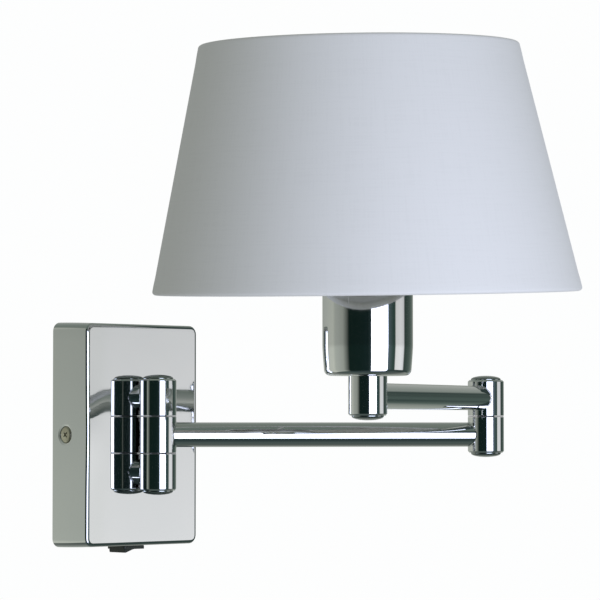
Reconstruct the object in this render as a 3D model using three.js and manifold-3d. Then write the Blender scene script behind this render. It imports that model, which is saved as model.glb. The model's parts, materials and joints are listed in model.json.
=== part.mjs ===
// Swing arm wall sconce: wall casing with a rocker switch, a three-knuckle wall hinge, two tubular arms
// joined by an elbow, and a lampholder cup that carries a tapered shade.
//
// Millimetres, +Z up. The origin is the centre of the bracket's back face, which lies on the wall.
// The casing faces -Y and +X is to the right of somebody who looks at the wall.

import * as THREE from 'three';
import { mergeVertices } from 'three/addons/utils/BufferGeometryUtils.js';
import Module from 'manifold-3d';

const wasm = await Module();
wasm.setup();

// ---------------------------------------------------------------- driving dimensions

const GAP = 0.3; // clearance that resting faces keep
const ROUND = 24; // sides of a round part
const SMALL_ROUND = 12; // sides of a small round part

const CASING_WIDTH = 85.6; // at the wall
const CASING_HEIGHT = 127.2; // at the wall
const CASING_DEPTH = 29;
const CASING_DRAFT = 0.9; // how far each side leans in between the wall and the front
const CASING_CORNER = 5;
const CASING_FRONT_EDGE = 2.5;
const CASING_WALL = 1.6;

const BRACKET_THICKNESS = 2;
const EAR_OUTSIDE = 39.2; // half the distance across the bracket's two ears
const EAR_DEPTH = 18;
const EAR_HEIGHT = 18;
const CABLE_ENTRY_RADIUS = 9;
const CABLE_ENTRY_HEIGHT = 34;
const FIXING_HOLE_RADIUS = 2.5;
const FIXING_HOLE_HEIGHT = 52;
const EARTH_SCREW_X = 26;
const EARTH_SCREW_HEAD_RADIUS = 3.6;
const GROMMET_BORE = 6.5;
const GROMMET_FLANGE = 2;
const TERMINAL_PITCH = 10;
const TERMINAL_BLOCK = { width: 32, depth: 12, height: 16 };
const SWITCH_LEAD_RADIUS = 1.2;

const SIDE_SCREW_Y = -11;
const SIDE_SCREW_HEAD_RADIUS = 4.4;
const SIDE_SCREW_HEAD_HEIGHT = 1.5;
const SIDE_SCREW_SHANK_RADIUS = 1.7;
const SIDE_SCREW_LENGTH = 7;
const RECESS_LENGTH = 5;
const DIMPLE_RADIUS = 5.35;
const DIMPLE_DEPTH = 1;

const BARREL_RADIUS = 10.4;
const BARREL_BORE = 5;
const KNUCKLE_HEIGHT = 21;
const KNUCKLE_GAP = 0.8; // room between two knuckles for a thin washer
const WASHER_THICKNESS = 0.36;
const CAPPED_CHAMFER = 0.9;
const SEAM_CHAMFER = 0.25;
const COUNTERBORE_RADIUS = 8.95;
const COUNTERBORE_DEPTH = 2;
const CAP_RADIUS = 8.65;
const CAP_PROUD = 2.5;
const CAP_SHOULDER = 0.7; // the straight part of a cap that shows
const CAP_PLUG_LENGTH = 4;
const PIN_RADIUS = 4.92;
const PIN_INNER_RADIUS = 3.6;
const WIRE_PORT_RADIUS = 3.2;

const TUBE_RADIUS = 7;
const TUBE_INNER_RADIUS = 5.5;
const THREAD_RADIUS = 5;
const TAIL_LENGTH = 4.4; // how far a stub's threaded tail reaches inside the casing
const NUT_ACROSS_FLATS = 14;
const NUT_HEIGHT = 3.4;
const FLEX_RADIUS = 2.2;

const HINGE_STAND_OFF = 12.5; // wall hinge axis in front of the casing
const LOWER_ARM_LENGTH = 192.3;
const LOWER_ARM_HEADING = -33;
const UPPER_ARM_LENGTH = 158;
const UPPER_ARM_HEADING = 198.05;

const CUP_RADIUS = 24.15;
const CUP_FOOT_RADIUS = 23.05;
const CUP_CORNER = 3;
const CUP_WALL = 1;
const CUP_HEIGHT = 51;
const CUP_TAPER_HEIGHT = 15.2;

const HOLDER_RADIUS = 19.5;
const HOLDER_CAVITY_RADIUS = 14;
const HOLDER_FLOOR = 58; // heights from here on are above the lower arm's axis
const HOLDER_TOP = 104;
const NIPPLE_LOW = 26;
const NIPPLE_TOP = 44;
const SHELL_LOW = 66;
const SHELL_TOP = 92;
const BULB_CAP_RADIUS = 13;
const BULB_CAP_LOW = 62;
const BULB_CAP_TOP = 87;
const BULB_NECK_RADIUS = 12.6;
const BULB_NECK_HEIGHT = 6;
const BULB_RADIUS = 22.5;
const BULB_CENTRE = 134;
const GLASS_WALL = 0.8;
const RING_NUT_RADIUS = 25;
const RING_NUT_HEIGHT = 5;

const SHADE_BASE_RADIUS = 115.1;
const SHADE_TOP_RADIUS = 85.5;
const SHADE_HEIGHT = 132.6;
const SHADE_SKIN = 1.2;
const SHADE_BASE_Z = 75.95;
const SHADE_LEAN_X = -2.75; // degrees that the shade leans towards +X
const SHADE_LEAN_Y = -1.8; // degrees that the shade leans towards +Y
const SHADE_SHIFT_HEADING = 135; // the way in which the shade is out of true, in degrees from +X
const SHADE_BASE_SHIFT = 0.45;
const SHADE_TOP_SHIFT = 3.45;
const SPIDER_RING_RISE = 20; // the spider's ring above the shade's lower edge
const SPIDER_RING_RADIUS = 27.2; // where the spokes leave the ring
const SPIDER_RING_THICKNESS = 1.5;
const SPOKE_RADIUS = 1.4;
const RING_WIRE_RADIUS = 1.5;
const LOWER_RING_HEIGHT = 2.4; // the wire rings' distance from the shade's ends
const SPOKE_HEADINGS = [60, 180, 300];

const SWITCH_Y = -14.5;
const BEZEL_LENGTH = 15.4;
const BEZEL_WIDTH = 14.9;
const BEZEL_THICKNESS = 1.6;
const SWITCH_BODY_LENGTH = 15;
const SWITCH_BODY_WIDTH = 14.5;
const SWITCH_BODY_DEPTH = 14;
const SWITCH_WELL_LENGTH = 14.4;
const SWITCH_WELL_WIDTH = 13.9;
const SWITCH_WELL_DEPTH = 8;
const SWITCH_TAB = { thickness: 0.8, width: 4.8, length: 4, x: 4 };
const ROCKER_LENGTH = 13.5;
const ROCKER_WIDTH = 13.4;
const ROCKER_TRAVEL = 18; // degrees from one side to the other
const ROCKER_FACE_DROP = 1.85; // each thumb face below the pivot
const TRUNNION_RADIUS = 0.7;
const TRUNNION_LENGTH = 0.35;

// ---------------------------------------------------------------- worked-out places

const HINGE_Y = -(CASING_DEPTH + HINGE_STAND_OFF);
const KNUCKLE_HALF = KNUCKLE_HEIGHT / 2;
const UPPER_LEVEL = KNUCKLE_HEIGHT; // height of the upper arm's axis above the lower arm's
const LEVEL_TOP = UPPER_LEVEL + KNUCKLE_HALF;
const CUP_FLOOR = LEVEL_TOP + GAP;
const SPIDER_Z = SHADE_BASE_Z + SPIDER_RING_RISE;
const SHADE_SLOPE = (SHADE_BASE_RADIUS - SHADE_TOP_RADIUS) / SHADE_HEIGHT;
const SWITCH_CASING_Z = drawnIn(-SWITCH_Y) - CASING_HEIGHT / 2; // the casing's lower face at the switch
const SCREW_FACE_X = CASING_WIDTH / 2 - drawnIn(-SIDE_SCREW_Y); // the casing's side at its screw
const BEZEL_TOP = SWITCH_CASING_Z - 0.35; // clear of the lower face, which slopes with the draft
const ROCKER_PIVOT_Z = SWITCH_CASING_Z;

// How far a side of the casing has leaned in at a distance from the wall.
function drawnIn(distance) {
  return CASING_DRAFT * distance / CASING_DEPTH;
}

// ---------------------------------------------------------------- materials

function finish(name, color, metalness, roughness) {
  return new THREE.MeshStandardMaterial({ name, color, metalness, roughness });
}

const CHROME = finish('chrome', 0xd9dcdf, 1, 0.06);
const STEEL = finish('zinc_steel', 0xb9b39c, 1, 0.35);
const BRASS = finish('brass', 0xc9a24a, 1, 0.3);
const BLACK_PLASTIC = finish('black_plastic', 0x14181a, 0, 0.4);
const WHITE_PLASTIC = finish('white_plastic', 0xe6e4de, 0, 0.5);
const NYLON = finish('nylon', 0x35383a, 0, 0.6);
const RUBBER = finish('rubber', 0x1c1c1c, 0, 0.8);
const FLEX = finish('flex_sheath', 0xd8d8d4, 0, 0.6);
const SHADE_FABRIC = finish('shade_fabric', 0xd8dade, 0, 0.9);
const SHADE_WIRE = finish('shade_wire', 0xe4e4e2, 0, 0.5);
const GLASS = finish('opal_glass', 0xf2f1ec, 0, 0.25);

// ---------------------------------------------------------------- shape helpers

// A closed geometry becomes a solid that can be joined and cut. A solid passes through unchanged.
function solid(shape) {
  if (!shape.isBufferGeometry) {
    return shape;
  }
  const bare = shape.clone();
  bare.deleteAttribute('normal');
  bare.deleteAttribute('uv');
  const merged = mergeVertices(bare, 1e-4);
  const index = merged.getIndex().array;
  const triangles = [];
  for (let i = 0; i < index.length; i += 3) {
    const [a, b, c] = [index[i], index[i + 1], index[i + 2]];
    if (a !== b && b !== c && c !== a) {
      triangles.push(a, b, c);
    }
  }
  const mesh = new wasm.Mesh({
    numProp: 3,
    vertProperties: new Float32Array(merged.getAttribute('position').array),
    triVerts: new Uint32Array(triangles),
  });
  return new wasm.Manifold(mesh);
}

function join(first, ...others) {
  return others.reduce((whole, other) => whole.add(solid(other)), solid(first));
}

function cut(body, ...tools) {
  return tools.reduce((rest, tool) => rest.subtract(solid(tool)), solid(body));
}

function turnIntoGeometry(body) {
  const { vertProperties, triVerts } = body.getMesh();
  const geometry = new THREE.BufferGeometry();
  geometry.setAttribute('position', new THREE.BufferAttribute(vertProperties, 3));
  geometry.setIndex(new THREE.BufferAttribute(triVerts, 1));
  return geometry;
}

function addPart(parent, name, shape, material) {
  const geometry = turnIntoGeometry(solid(shape));
  geometry.computeVertexNormals();
  const mesh = new THREE.Mesh(geometry, material);
  mesh.name = name;
  parent.add(mesh);
  return mesh;
}

// Turns a [radius, height] profile about Z. The profile runs anticlockwise.
function turned(profile, sides = ROUND) {
  const points = profile.map(([radius, height]) => new THREE.Vector2(radius, height));
  return new THREE.LatheGeometry(points, sides).rotateX(Math.PI / 2);
}

function rod(radius, low, high, sides = ROUND) {
  return turned([[0, low], [radius, low], [radius, high], [0, high]], sides);
}

function pipe(outer, inner, low, high, sides = ROUND) {
  return turned([[inner, low], [outer, low], [outer, high], [inner, high], [inner, low]], sides);
}

function block(width, depth, height, x = 0, y = 0, z = 0) {
  return new THREE.BoxGeometry(width, depth, height).translate(x, y, z);
}

// Three turns that lay down a shape that stands along Z: along +X, along +Y, and out from the wall.
function alongX(geometry) {
  return geometry.rotateY(Math.PI / 2);
}

function alongY(geometry) {
  return geometry.rotateX(-Math.PI / 2);
}

function outFromWall(geometry) {
  return geometry.rotateX(Math.PI / 2);
}

function hexNut(acrossFlats, bore, low, high) {
  const corner = acrossFlats / 2 / Math.cos(Math.PI / 6);
  return cut(rod(corner, low, high, 6), rod(bore, low - 1, high + 1, ROUND));
}

function roundedOutline(width, height, radius, steps = 4) {
  const points = [];
  const signs = [[1, 1], [-1, 1], [-1, -1], [1, -1]];
  signs.forEach(([signX, signY], corner) => {
    for (let step = 0; step <= steps; step += 1) {
      const angle = (corner + step / steps) * Math.PI / 2;
      const x = signX * (width / 2 - radius) + radius * Math.cos(angle);
      const y = signY * (height / 2 - radius) + radius * Math.sin(angle);
      points.push([x, y]);
    }
  });
  return points;
}

// Stacks convex outlines of equal point count along Z into one closed body.
function stacked(levels) {
  const count = levels[0].outline.length;
  const positions = levels.flatMap(({ outline, z }) => outline.flatMap(([x, y]) => [x, y, z]));
  const indices = [];
  for (let level = 0; level < levels.length - 1; level += 1) {
    for (let i = 0; i < count; i += 1) {
      const next = (i + 1) % count;
      const [a, b] = [level * count + i, level * count + next];
      indices.push(a, b, b + count, a, b + count, a + count);
    }
  }
  const lid = (levels.length - 1) * count;
  for (let i = 1; i < count - 1; i += 1) {
    indices.push(0, i + 1, i, lid, lid + i, lid + i + 1);
  }
  const geometry = new THREE.BufferGeometry();
  geometry.setAttribute('position', new THREE.Float32BufferAttribute(positions, 3));
  geometry.setIndex(indices);
  return geometry;
}

// A round section swept along a smooth curve through the points.
function cable(points, radius, steps) {
  const outline = Array.from({ length: 8 }, (_, i) => {
    const angle = i * Math.PI / 4;
    return new THREE.Vector2(radius * Math.cos(angle), radius * Math.sin(angle));
  });
  const curve = new THREE.CatmullRomCurve3(points.map((point) => new THREE.Vector3(...point)));
  return new THREE.ExtrudeGeometry(new THREE.Shape(outline), { steps, extrudePath: curve });
}

function placed(parent, x, y, z, heading = 0) {
  const group = new THREE.Group();
  group.position.set(x, y, z);
  group.rotation.z = THREE.MathUtils.degToRad(heading);
  parent.add(group);
  return group;
}

// ---------------------------------------------------------------- hinge pieces

// One knuckle between two heights. A capped end is counterbored for its cap and more chamfered.
function knuckle(low, high, { cappedBelow = false, cappedAbove = false }) {
  const chamferBelow = cappedBelow ? CAPPED_CHAMFER : SEAM_CHAMFER;
  const chamferAbove = cappedAbove ? CAPPED_CHAMFER : SEAM_CHAMFER;
  const profile = [
    [cappedBelow ? COUNTERBORE_RADIUS : BARREL_BORE, low],
    [BARREL_RADIUS - chamferBelow, low],
    [BARREL_RADIUS, low + chamferBelow],
    [BARREL_RADIUS, high - chamferAbove],
    [BARREL_RADIUS - chamferAbove, high],
  ];
  if (cappedAbove) {
    profile.push([COUNTERBORE_RADIUS, high], [COUNTERBORE_RADIUS, high - COUNTERBORE_DEPTH]);
    profile.push([BARREL_BORE, high - COUNTERBORE_DEPTH]);
  } else {
    profile.push([BARREL_BORE, high]);
  }
  if (cappedBelow) {
    profile.push([BARREL_BORE, low + COUNTERBORE_DEPTH], [COUNTERBORE_RADIUS, low + COUNTERBORE_DEPTH]);
  }
  profile.push(profile[0]);
  return turned(profile);
}

// A domed push-in cap that closes the upper end of a barrel at the given height.
function domedCap(face) {
  const seat = face - COUNTERBORE_DEPTH + GAP;
  const plug = PIN_INNER_RADIUS - 0.2;
  const plugEnd = seat - CAP_PLUG_LENGTH;
  const shoulder = face + CAP_SHOULDER;
  const profile = [[0, plugEnd], [plug, plugEnd], [plug, seat], [CAP_RADIUS, seat]];
  const domeSteps = 3;
  for (let step = 0; step <= domeSteps; step += 1) {
    const angle = step / domeSteps * Math.PI / 2;
    const rise = (CAP_PROUD - CAP_SHOULDER) * Math.sin(angle);
    profile.push([CAP_RADIUS * Math.cos(angle), shoulder + rise]);
  }
  profile[profile.length - 1][0] = 0;
  return turned(profile);
}

function domedCapBelow(face) {
  return domedCap(-face).rotateX(Math.PI);
}

// A hollow pin with side windows that let the flex through.
function hingePin(low, high, windows) {
  return cut(pipe(PIN_RADIUS, PIN_INNER_RADIUS, low, high), ...windows);
}

function knuckleWasher(z) {
  const half = WASHER_THICKNESS / 2;
  return pipe(BARREL_RADIUS - 0.7, BARREL_BORE + 0.2, z - half, z + half);
}

// A tube between two barrels, its ends saddled to fit round them.
function armTube(length) {
  const saddle = BARREL_RADIUS + GAP;
  const reach = TUBE_RADIUS + 2;
  const tube = alongX(pipe(TUBE_RADIUS, TUBE_INNER_RADIUS, 0, length));
  return cut(tube, rod(saddle, -reach, reach), rod(saddle, -reach, reach).translate(length, 0, 0));
}

function armFlex(length) {
  const setBack = BARREL_RADIUS + 4;
  return alongX(rod(FLEX_RADIUS, setBack, length - setBack, 8));
}

// A knuckle with a port towards its arm. The heading is 0 for +X and 180 for -X.
function portedKnuckle(low, high, ends, heading) {
  const port = alongX(rod(WIRE_PORT_RADIUS, 0, BARREL_RADIUS + 2, SMALL_ROUND));
  port.rotateZ(THREE.MathUtils.degToRad(heading)).translate(0, 0, (low + high) / 2);
  return cut(knuckle(low, high, ends), port);
}

// ---------------------------------------------------------------- wall casing and bracket

function buildBracket(parent) {
  const outline = casingOutline(BRACKET_THICKNESS, CASING_WALL + GAP, 2);
  const plate = outFromWall(stacked([{ outline, z: 0 }, { outline, z: BRACKET_THICKNESS }]));
  const earMiddle = -(BRACKET_THICKNESS + EAR_DEPTH) / 2;
  const earX = EAR_OUTSIDE - BRACKET_THICKNESS / 2;
  const ears = [-1, 1].map((side) => (
    block(BRACKET_THICKNESS, EAR_DEPTH - BRACKET_THICKNESS + 1, EAR_HEIGHT, side * earX, earMiddle + 0.5, 0)
  ));
  const holes = [-1, 1].map((side) => (
    alongY(rod(FIXING_HOLE_RADIUS, -9, 9, SMALL_ROUND)).translate(0, 0, side * FIXING_HOLE_HEIGHT)
  ));
  const cableEntry = alongY(rod(CABLE_ENTRY_RADIUS, -9, 9)).translate(0, 0, CABLE_ENTRY_HEIGHT);
  const screwLine = alongX(rod(SIDE_SCREW_SHANK_RADIUS + 0.15, -60, 60, SMALL_ROUND));
  screwLine.translate(0, SIDE_SCREW_Y, 0);
  const earthHole = alongY(rod(1.7, -9, 9, SMALL_ROUND)).translate(EARTH_SCREW_X, 0, CABLE_ENTRY_HEIGHT);
  const bracket = cut(join(plate, ...ears), ...holes, cableEntry, screwLine, earthHole);
  addPart(parent, 'wall_bracket', bracket, STEEL);
}

function buildGrommet(parent) {
  const neck = CABLE_ENTRY_RADIUS - GAP;
  const flange = CABLE_ENTRY_RADIUS + GROMMET_FLANGE;
  const back = BRACKET_THICKNESS + GAP;
  const front = back + 1.5;
  const grommet = outFromWall(turned([
    [GROMMET_BORE, 0.2], [neck, 0.2], [neck, back], [flange, back], [flange, front],
    [GROMMET_BORE, front], [GROMMET_BORE, 0.2],
  ], SMALL_ROUND));
  addPart(parent, 'cable_grommet', grommet.translate(0, 0, CABLE_ENTRY_HEIGHT), RUBBER);
}

// The casing's outline at a distance from the wall, moved inwards by an inset.
function casingOutline(distance, inset, steps = 4) {
  const lost = 2 * (drawnIn(distance) + inset);
  return roundedOutline(CASING_WIDTH - lost, CASING_HEIGHT - lost, CASING_CORNER - inset, steps);
}

function casingLevels() {
  const shoulder = CASING_DEPTH - CASING_FRONT_EDGE;
  const levels = [{ outline: casingOutline(0, 0), z: 0 }];
  const steps = 3;
  for (let step = 0; step <= steps; step += 1) {
    const angle = step / steps * Math.PI / 2;
    const inset = CASING_FRONT_EDGE * (1 - Math.cos(angle));
    const z = shoulder + CASING_FRONT_EDGE * Math.sin(angle);
    levels.push({ outline: casingOutline(shoulder, inset), z });
  }
  return levels;
}

function buildCasing(parent) {
  const cavity = stacked([-1, CASING_DEPTH - CASING_WALL].map((z) => (
    { outline: casingOutline(z, CASING_WALL), z }
  )));
  let casing = cut(outFromWall(stacked(casingLevels())), outFromWall(cavity));
  for (const side of [-1, 1]) {
    const face = SCREW_FACE_X;
    const dimpleFloor = face - DIMPLE_DEPTH;
    const boss = rod(DIMPLE_RADIUS + 1, dimpleFloor - CASING_WALL, face - 0.8);
    const dimple = turned([
      [0, dimpleFloor], [DIMPLE_RADIUS - 0.65, dimpleFloor], [DIMPLE_RADIUS, face],
      [DIMPLE_RADIUS, face + 1], [0, face + 1],
    ]);
    const hole = rod(SIDE_SCREW_SHANK_RADIUS + 0.5, face - 6, face + 1, SMALL_ROUND);
    const onSide = (shape) => alongX(shape).scale(side, 1, side).translate(0, SIDE_SCREW_Y, 0);
    casing = cut(join(casing, onSide(boss)), onSide(dimple), onSide(hole));
  }
  for (const level of [-UPPER_LEVEL, UPPER_LEVEL]) {
    casing = cut(casing, alongY(rod(THREAD_RADIUS + 0.4, -40, -20)).translate(0, 0, level));
  }
  const [cutLength, cutWidth] = [SWITCH_BODY_LENGTH + GAP, SWITCH_BODY_WIDTH + GAP];
  const cutOut = block(cutLength, cutWidth, 8, 0, SWITCH_Y, SWITCH_CASING_Z);
  addPart(parent, 'wall_casing', cut(casing, cutOut), CHROME);
}

// A low-headed cross-recess screw. It is built along +X with its head's seat at x = 0.
function sideScrew() {
  const headTop = SIDE_SCREW_HEAD_HEIGHT;
  const screw = turned([
    [0, -SIDE_SCREW_LENGTH], [SIDE_SCREW_SHANK_RADIUS, -SIDE_SCREW_LENGTH], [SIDE_SCREW_SHANK_RADIUS, 0],
    [SIDE_SCREW_HEAD_RADIUS, 0], [SIDE_SCREW_HEAD_RADIUS, 0.8], [SIDE_SCREW_HEAD_RADIUS - 0.5, 1.3],
    [SIDE_SCREW_HEAD_RADIUS - 1.4, headTop], [0, headTop],
  ], 16);
  const slots = [block(RECESS_LENGTH, 1, 2), block(1, RECESS_LENGTH, 2)];
  slots.forEach((slot) => slot.translate(0, 0, headTop));
  return alongX(turnIntoGeometry(cut(screw, ...slots)));
}

function buildSideScrews(parent) {
  const seat = SCREW_FACE_X - DIMPLE_DEPTH + 0.2;
  const right = sideScrew().translate(seat, SIDE_SCREW_Y, 0);
  const left = sideScrew().rotateZ(Math.PI).translate(-seat, SIDE_SCREW_Y, 0);
  addPart(parent, 'casing_screw_right', right, STEEL);
  addPart(parent, 'casing_screw_left', left, STEEL);
}

// ---------------------------------------------------------------- wiring inside the casing

function buildTerminals(parent) {
  const back = -(BRACKET_THICKNESS + GAP);
  const front = back - TERMINAL_BLOCK.depth;
  let body = solid(block(
    TERMINAL_BLOCK.width, TERMINAL_BLOCK.depth, TERMINAL_BLOCK.height, 0, (back + front) / 2, 0,
  ));
  for (const number of [1, 2, 3]) {
    const x = (number - 2) * TERMINAL_PITCH;
    const wireWay = rod(2, -9, 9, 12).translate(x, back - 5, 0);
    const screwWell = alongY(rod(2.4, front - 1, front + 6, 12)).translate(x, 0, 0);
    body = cut(body, wireWay, screwWell);
    const head = alongY(rod(2, front + 0.8, front + 2.6, 12)).translate(x, 0, 0);
    const slot = block(5, 1.2, 0.7, x, front + 0.8, 0);
    addPart(parent, `terminal_screw_${number}`, cut(head, slot), BRASS);
  }
  addPart(parent, 'terminal_block', body, WHITE_PLASTIC);

  const headSeat = BRACKET_THICKNESS + GAP;
  const headTop = BRACKET_THICKNESS + 2.2;
  const earthScrew = outFromWall(turned([
    [0, 0.2], [1.5, 0.2], [1.5, headSeat], [EARTH_SCREW_HEAD_RADIUS, headSeat],
    [EARTH_SCREW_HEAD_RADIUS, headTop], [0, headTop],
  ], SMALL_ROUND)).translate(EARTH_SCREW_X, 0, CABLE_ENTRY_HEIGHT);
  const slot = block(8, 1.4, 0.8, EARTH_SCREW_X, -headTop, CABLE_ENTRY_HEIGHT);
  addPart(parent, 'earth_screw', cut(earthScrew, slot), BRASS);
}

function buildCasingFlex(parent) {
  const route = [
    [0, -7.3, 9.5], [0, -7.6, 13], [0, -10, 17.5], [0, -14.5, 20.4], [0, -20, 21], [0, -26, 21],
  ];
  addPart(parent, 'casing_flex', cable(route, FLEX_RADIUS - 0.3, 12), FLEX);
  const lead = [[-4, SWITCH_Y, -44], [-4.6, -13, -38], [-8, -10, -28], [-10, -7.8, -18], [-10, -7.3, -9.5]];
  addPart(parent, 'switch_lead', cable(lead, SWITCH_LEAD_RADIUS, 14), FLEX);
}

// ---------------------------------------------------------------- rocker switch

function buildSwitch(parent) {
  const bezel = block(BEZEL_LENGTH, BEZEL_WIDTH, BEZEL_THICKNESS, 0, 0, -BEZEL_THICKNESS / 2);
  const bodyMiddle = SWITCH_BODY_DEPTH / 2 - 0.1;
  const body = block(SWITCH_BODY_LENGTH, SWITCH_BODY_WIDTH, SWITCH_BODY_DEPTH, 0, 0, bodyMiddle);
  const wellMiddle = SWITCH_WELL_DEPTH / 2 - 2;
  const well = block(SWITCH_WELL_LENGTH, SWITCH_WELL_WIDTH, SWITCH_WELL_DEPTH + 4, 0, 0, wellMiddle);
  const socket = ROCKER_WIDTH / 2 + TRUNNION_LENGTH + 0.1;
  const pivot = alongY(rod(TRUNNION_RADIUS + 0.15, -socket, socket, 12));
  pivot.translate(0, 0, ROCKER_PIVOT_Z - BEZEL_TOP);
  const housing = turnIntoGeometry(cut(join(bezel, body), well, pivot));
  addPart(parent, 'switch_housing', housing.translate(0, SWITCH_Y, BEZEL_TOP), BLACK_PLASTIC);
  const tabLow = BEZEL_TOP + SWITCH_BODY_DEPTH + GAP;
  for (const [name, x] of [['switch_tab_left', -SWITCH_TAB.x], ['switch_tab_right', SWITCH_TAB.x]]) {
    const middle = tabLow + SWITCH_TAB.length / 2;
    const tab = block(SWITCH_TAB.thickness, SWITCH_TAB.width, SWITCH_TAB.length, x, SWITCH_Y, middle);
    const eye = alongX(rod(0.7, -2, 2, 8)).translate(x, SWITCH_Y, middle + 0.3);
    addPart(parent, name, cut(tab, eye), BRASS);
  }
}

// The rocker's two thumb faces meet in a shallow V. At rest its -X end stands proud.
function buildRocker(parent) {
  const half = THREE.MathUtils.degToRad(ROCKER_TRAVEL / 2);
  const end = ROCKER_LENGTH / 2;
  const valley = -ROCKER_FACE_DROP / Math.cos(half);
  const tip = valley - end * Math.tan(half);
  const side = new THREE.Shape([
    new THREE.Vector2(-end, tip), new THREE.Vector2(0, valley), new THREE.Vector2(end, tip),
    new THREE.Vector2(end - 0.3, 2), new THREE.Vector2(-end + 0.3, 2),
  ]);
  const wedge = new THREE.ExtrudeGeometry(side, { depth: ROCKER_WIDTH, bevelEnabled: false });
  wedge.translate(0, 0, -ROCKER_WIDTH / 2).rotateX(Math.PI / 2);
  const trunnion = ROCKER_WIDTH / 2 + TRUNNION_LENGTH;
  const body = turnIntoGeometry(join(wedge, alongY(rod(TRUNNION_RADIUS, -trunnion, trunnion, 12))));
  body.rotateY(-half).translate(0, SWITCH_Y, ROCKER_PIVOT_Z);
  addPart(parent, 'switch_rocker', body, BLACK_PLASTIC);
}

// ---------------------------------------------------------------- wall hinge

// A wall knuckle carries a stub tube that ends in a threaded tail inside the casing.
function wallKnuckle(low, high, ends) {
  const level = (low + high) / 2;
  const stubEnd = HINGE_STAND_OFF - GAP;
  const tailEnd = HINGE_STAND_OFF + CASING_WALL + TAIL_LENGTH;
  const stub = alongY(rod(TUBE_RADIUS, 7, stubEnd)).translate(0, 0, level);
  const tail = alongY(rod(THREAD_RADIUS, stubEnd - 1, tailEnd)).translate(0, 0, level);
  const wireWay = alongY(rod(WIRE_PORT_RADIUS, 0, tailEnd + 1, SMALL_ROUND)).translate(0, 0, level);
  return cut(join(knuckle(low, high, ends), stub, tail), wireWay);
}

function buildWallHinge(parent) {
  const hinge = placed(parent, 0, HINGE_Y, 0);
  const seam = KNUCKLE_HALF + KNUCKLE_GAP / 2;
  addPart(hinge, 'wall_knuckle_upper', wallKnuckle(seam, LEVEL_TOP, { cappedAbove: true }), CHROME);
  addPart(hinge, 'wall_knuckle_lower', wallKnuckle(-LEVEL_TOP, -seam, { cappedBelow: true }), CHROME);
  addPart(hinge, 'wall_hinge_cap_top', domedCap(LEVEL_TOP), CHROME);
  addPart(hinge, 'wall_hinge_cap_bottom', domedCapBelow(-LEVEL_TOP), CHROME);
  const pinEnd = LEVEL_TOP - COUNTERBORE_DEPTH - GAP;
  const windows = [block(6, 9, 8, 0, 4.5, UPPER_LEVEL), block(12, 7, 8, 0, -3.5, 0)];
  addPart(hinge, 'wall_hinge_pin', hingePin(-pinEnd, pinEnd, windows), STEEL);
  addPart(hinge, 'wall_hinge_washer_upper', knuckleWasher(KNUCKLE_HALF), NYLON);
  addPart(hinge, 'wall_hinge_washer_lower', knuckleWasher(-KNUCKLE_HALF), NYLON);
  for (const [name, level] of [['stub_nut_upper', UPPER_LEVEL], ['stub_nut_lower', -UPPER_LEVEL]]) {
    const low = HINGE_STAND_OFF + CASING_WALL + GAP;
    const nut = turnIntoGeometry(hexNut(NUT_ACROSS_FLATS, THREAD_RADIUS + 0.25, low, low + NUT_HEIGHT));
    addPart(hinge, name, alongY(nut).translate(0, 0, level), STEEL);
  }
}

// ---------------------------------------------------------------- arms

function buildLowerArm(parent) {
  const arm = placed(parent, 0, HINGE_Y, 0, LOWER_ARM_HEADING);
  const seam = KNUCKLE_HALF - KNUCKLE_GAP / 2;
  addPart(arm, 'lower_arm_knuckle', portedKnuckle(-seam, seam, {}, 0), CHROME);
  addPart(arm, 'lower_arm_tube', armTube(LOWER_ARM_LENGTH), CHROME);
  addPart(arm, 'lower_arm_flex', armFlex(LOWER_ARM_LENGTH), FLEX);
  const elbow = placed(arm, LOWER_ARM_LENGTH, 0, 0);
  const lowerKnuckle = portedKnuckle(-KNUCKLE_HALF, seam, { cappedBelow: true }, 180);
  addPart(elbow, 'elbow_knuckle_lower', lowerKnuckle, CHROME);
  addPart(elbow, 'elbow_cap_bottom', domedCapBelow(-KNUCKLE_HALF), CHROME);
  addPart(elbow, 'elbow_washer', knuckleWasher(KNUCKLE_HALF), NYLON);
  const pinLow = -KNUCKLE_HALF + COUNTERBORE_DEPTH + GAP;
  const pinHigh = LEVEL_TOP - COUNTERBORE_DEPTH - GAP;
  const windows = [block(7, 6, 6, -3.5, 0, 0), block(7, 12, 8, -3.5, 0, UPPER_LEVEL)];
  addPart(elbow, 'elbow_pin', hingePin(pinLow, pinHigh, windows), STEEL);
}

function elbowPlace() {
  const heading = THREE.MathUtils.degToRad(LOWER_ARM_HEADING);
  return [LOWER_ARM_LENGTH * Math.cos(heading), HINGE_Y + LOWER_ARM_LENGTH * Math.sin(heading)];
}

function buildUpperArm(parent) {
  const arm = placed(parent, ...elbowPlace(), UPPER_LEVEL, UPPER_ARM_HEADING);
  const seam = -KNUCKLE_HALF + KNUCKLE_GAP / 2;
  const innerKnuckle = portedKnuckle(seam, KNUCKLE_HALF, { cappedAbove: true }, 0);
  addPart(arm, 'elbow_knuckle_upper', innerKnuckle, CHROME);
  addPart(arm, 'elbow_cap_top', domedCap(KNUCKLE_HALF), CHROME);
  addPart(arm, 'upper_arm_tube', armTube(UPPER_ARM_LENGTH), CHROME);
  addPart(arm, 'upper_arm_flex', armFlex(UPPER_ARM_LENGTH), FLEX);
  const post = placed(arm, UPPER_ARM_LENGTH, 0, 0);
  const postKnuckle = portedKnuckle(-KNUCKLE_HALF, KNUCKLE_HALF, { cappedBelow: true }, 180);
  addPart(post, 'lamp_post', postKnuckle, CHROME);
  addPart(post, 'lamp_post_cap', domedCapBelow(-KNUCKLE_HALF), CHROME);
  return placed(post, 0, 0, -UPPER_LEVEL, -UPPER_ARM_HEADING);
}

// ---------------------------------------------------------------- lampholder

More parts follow.
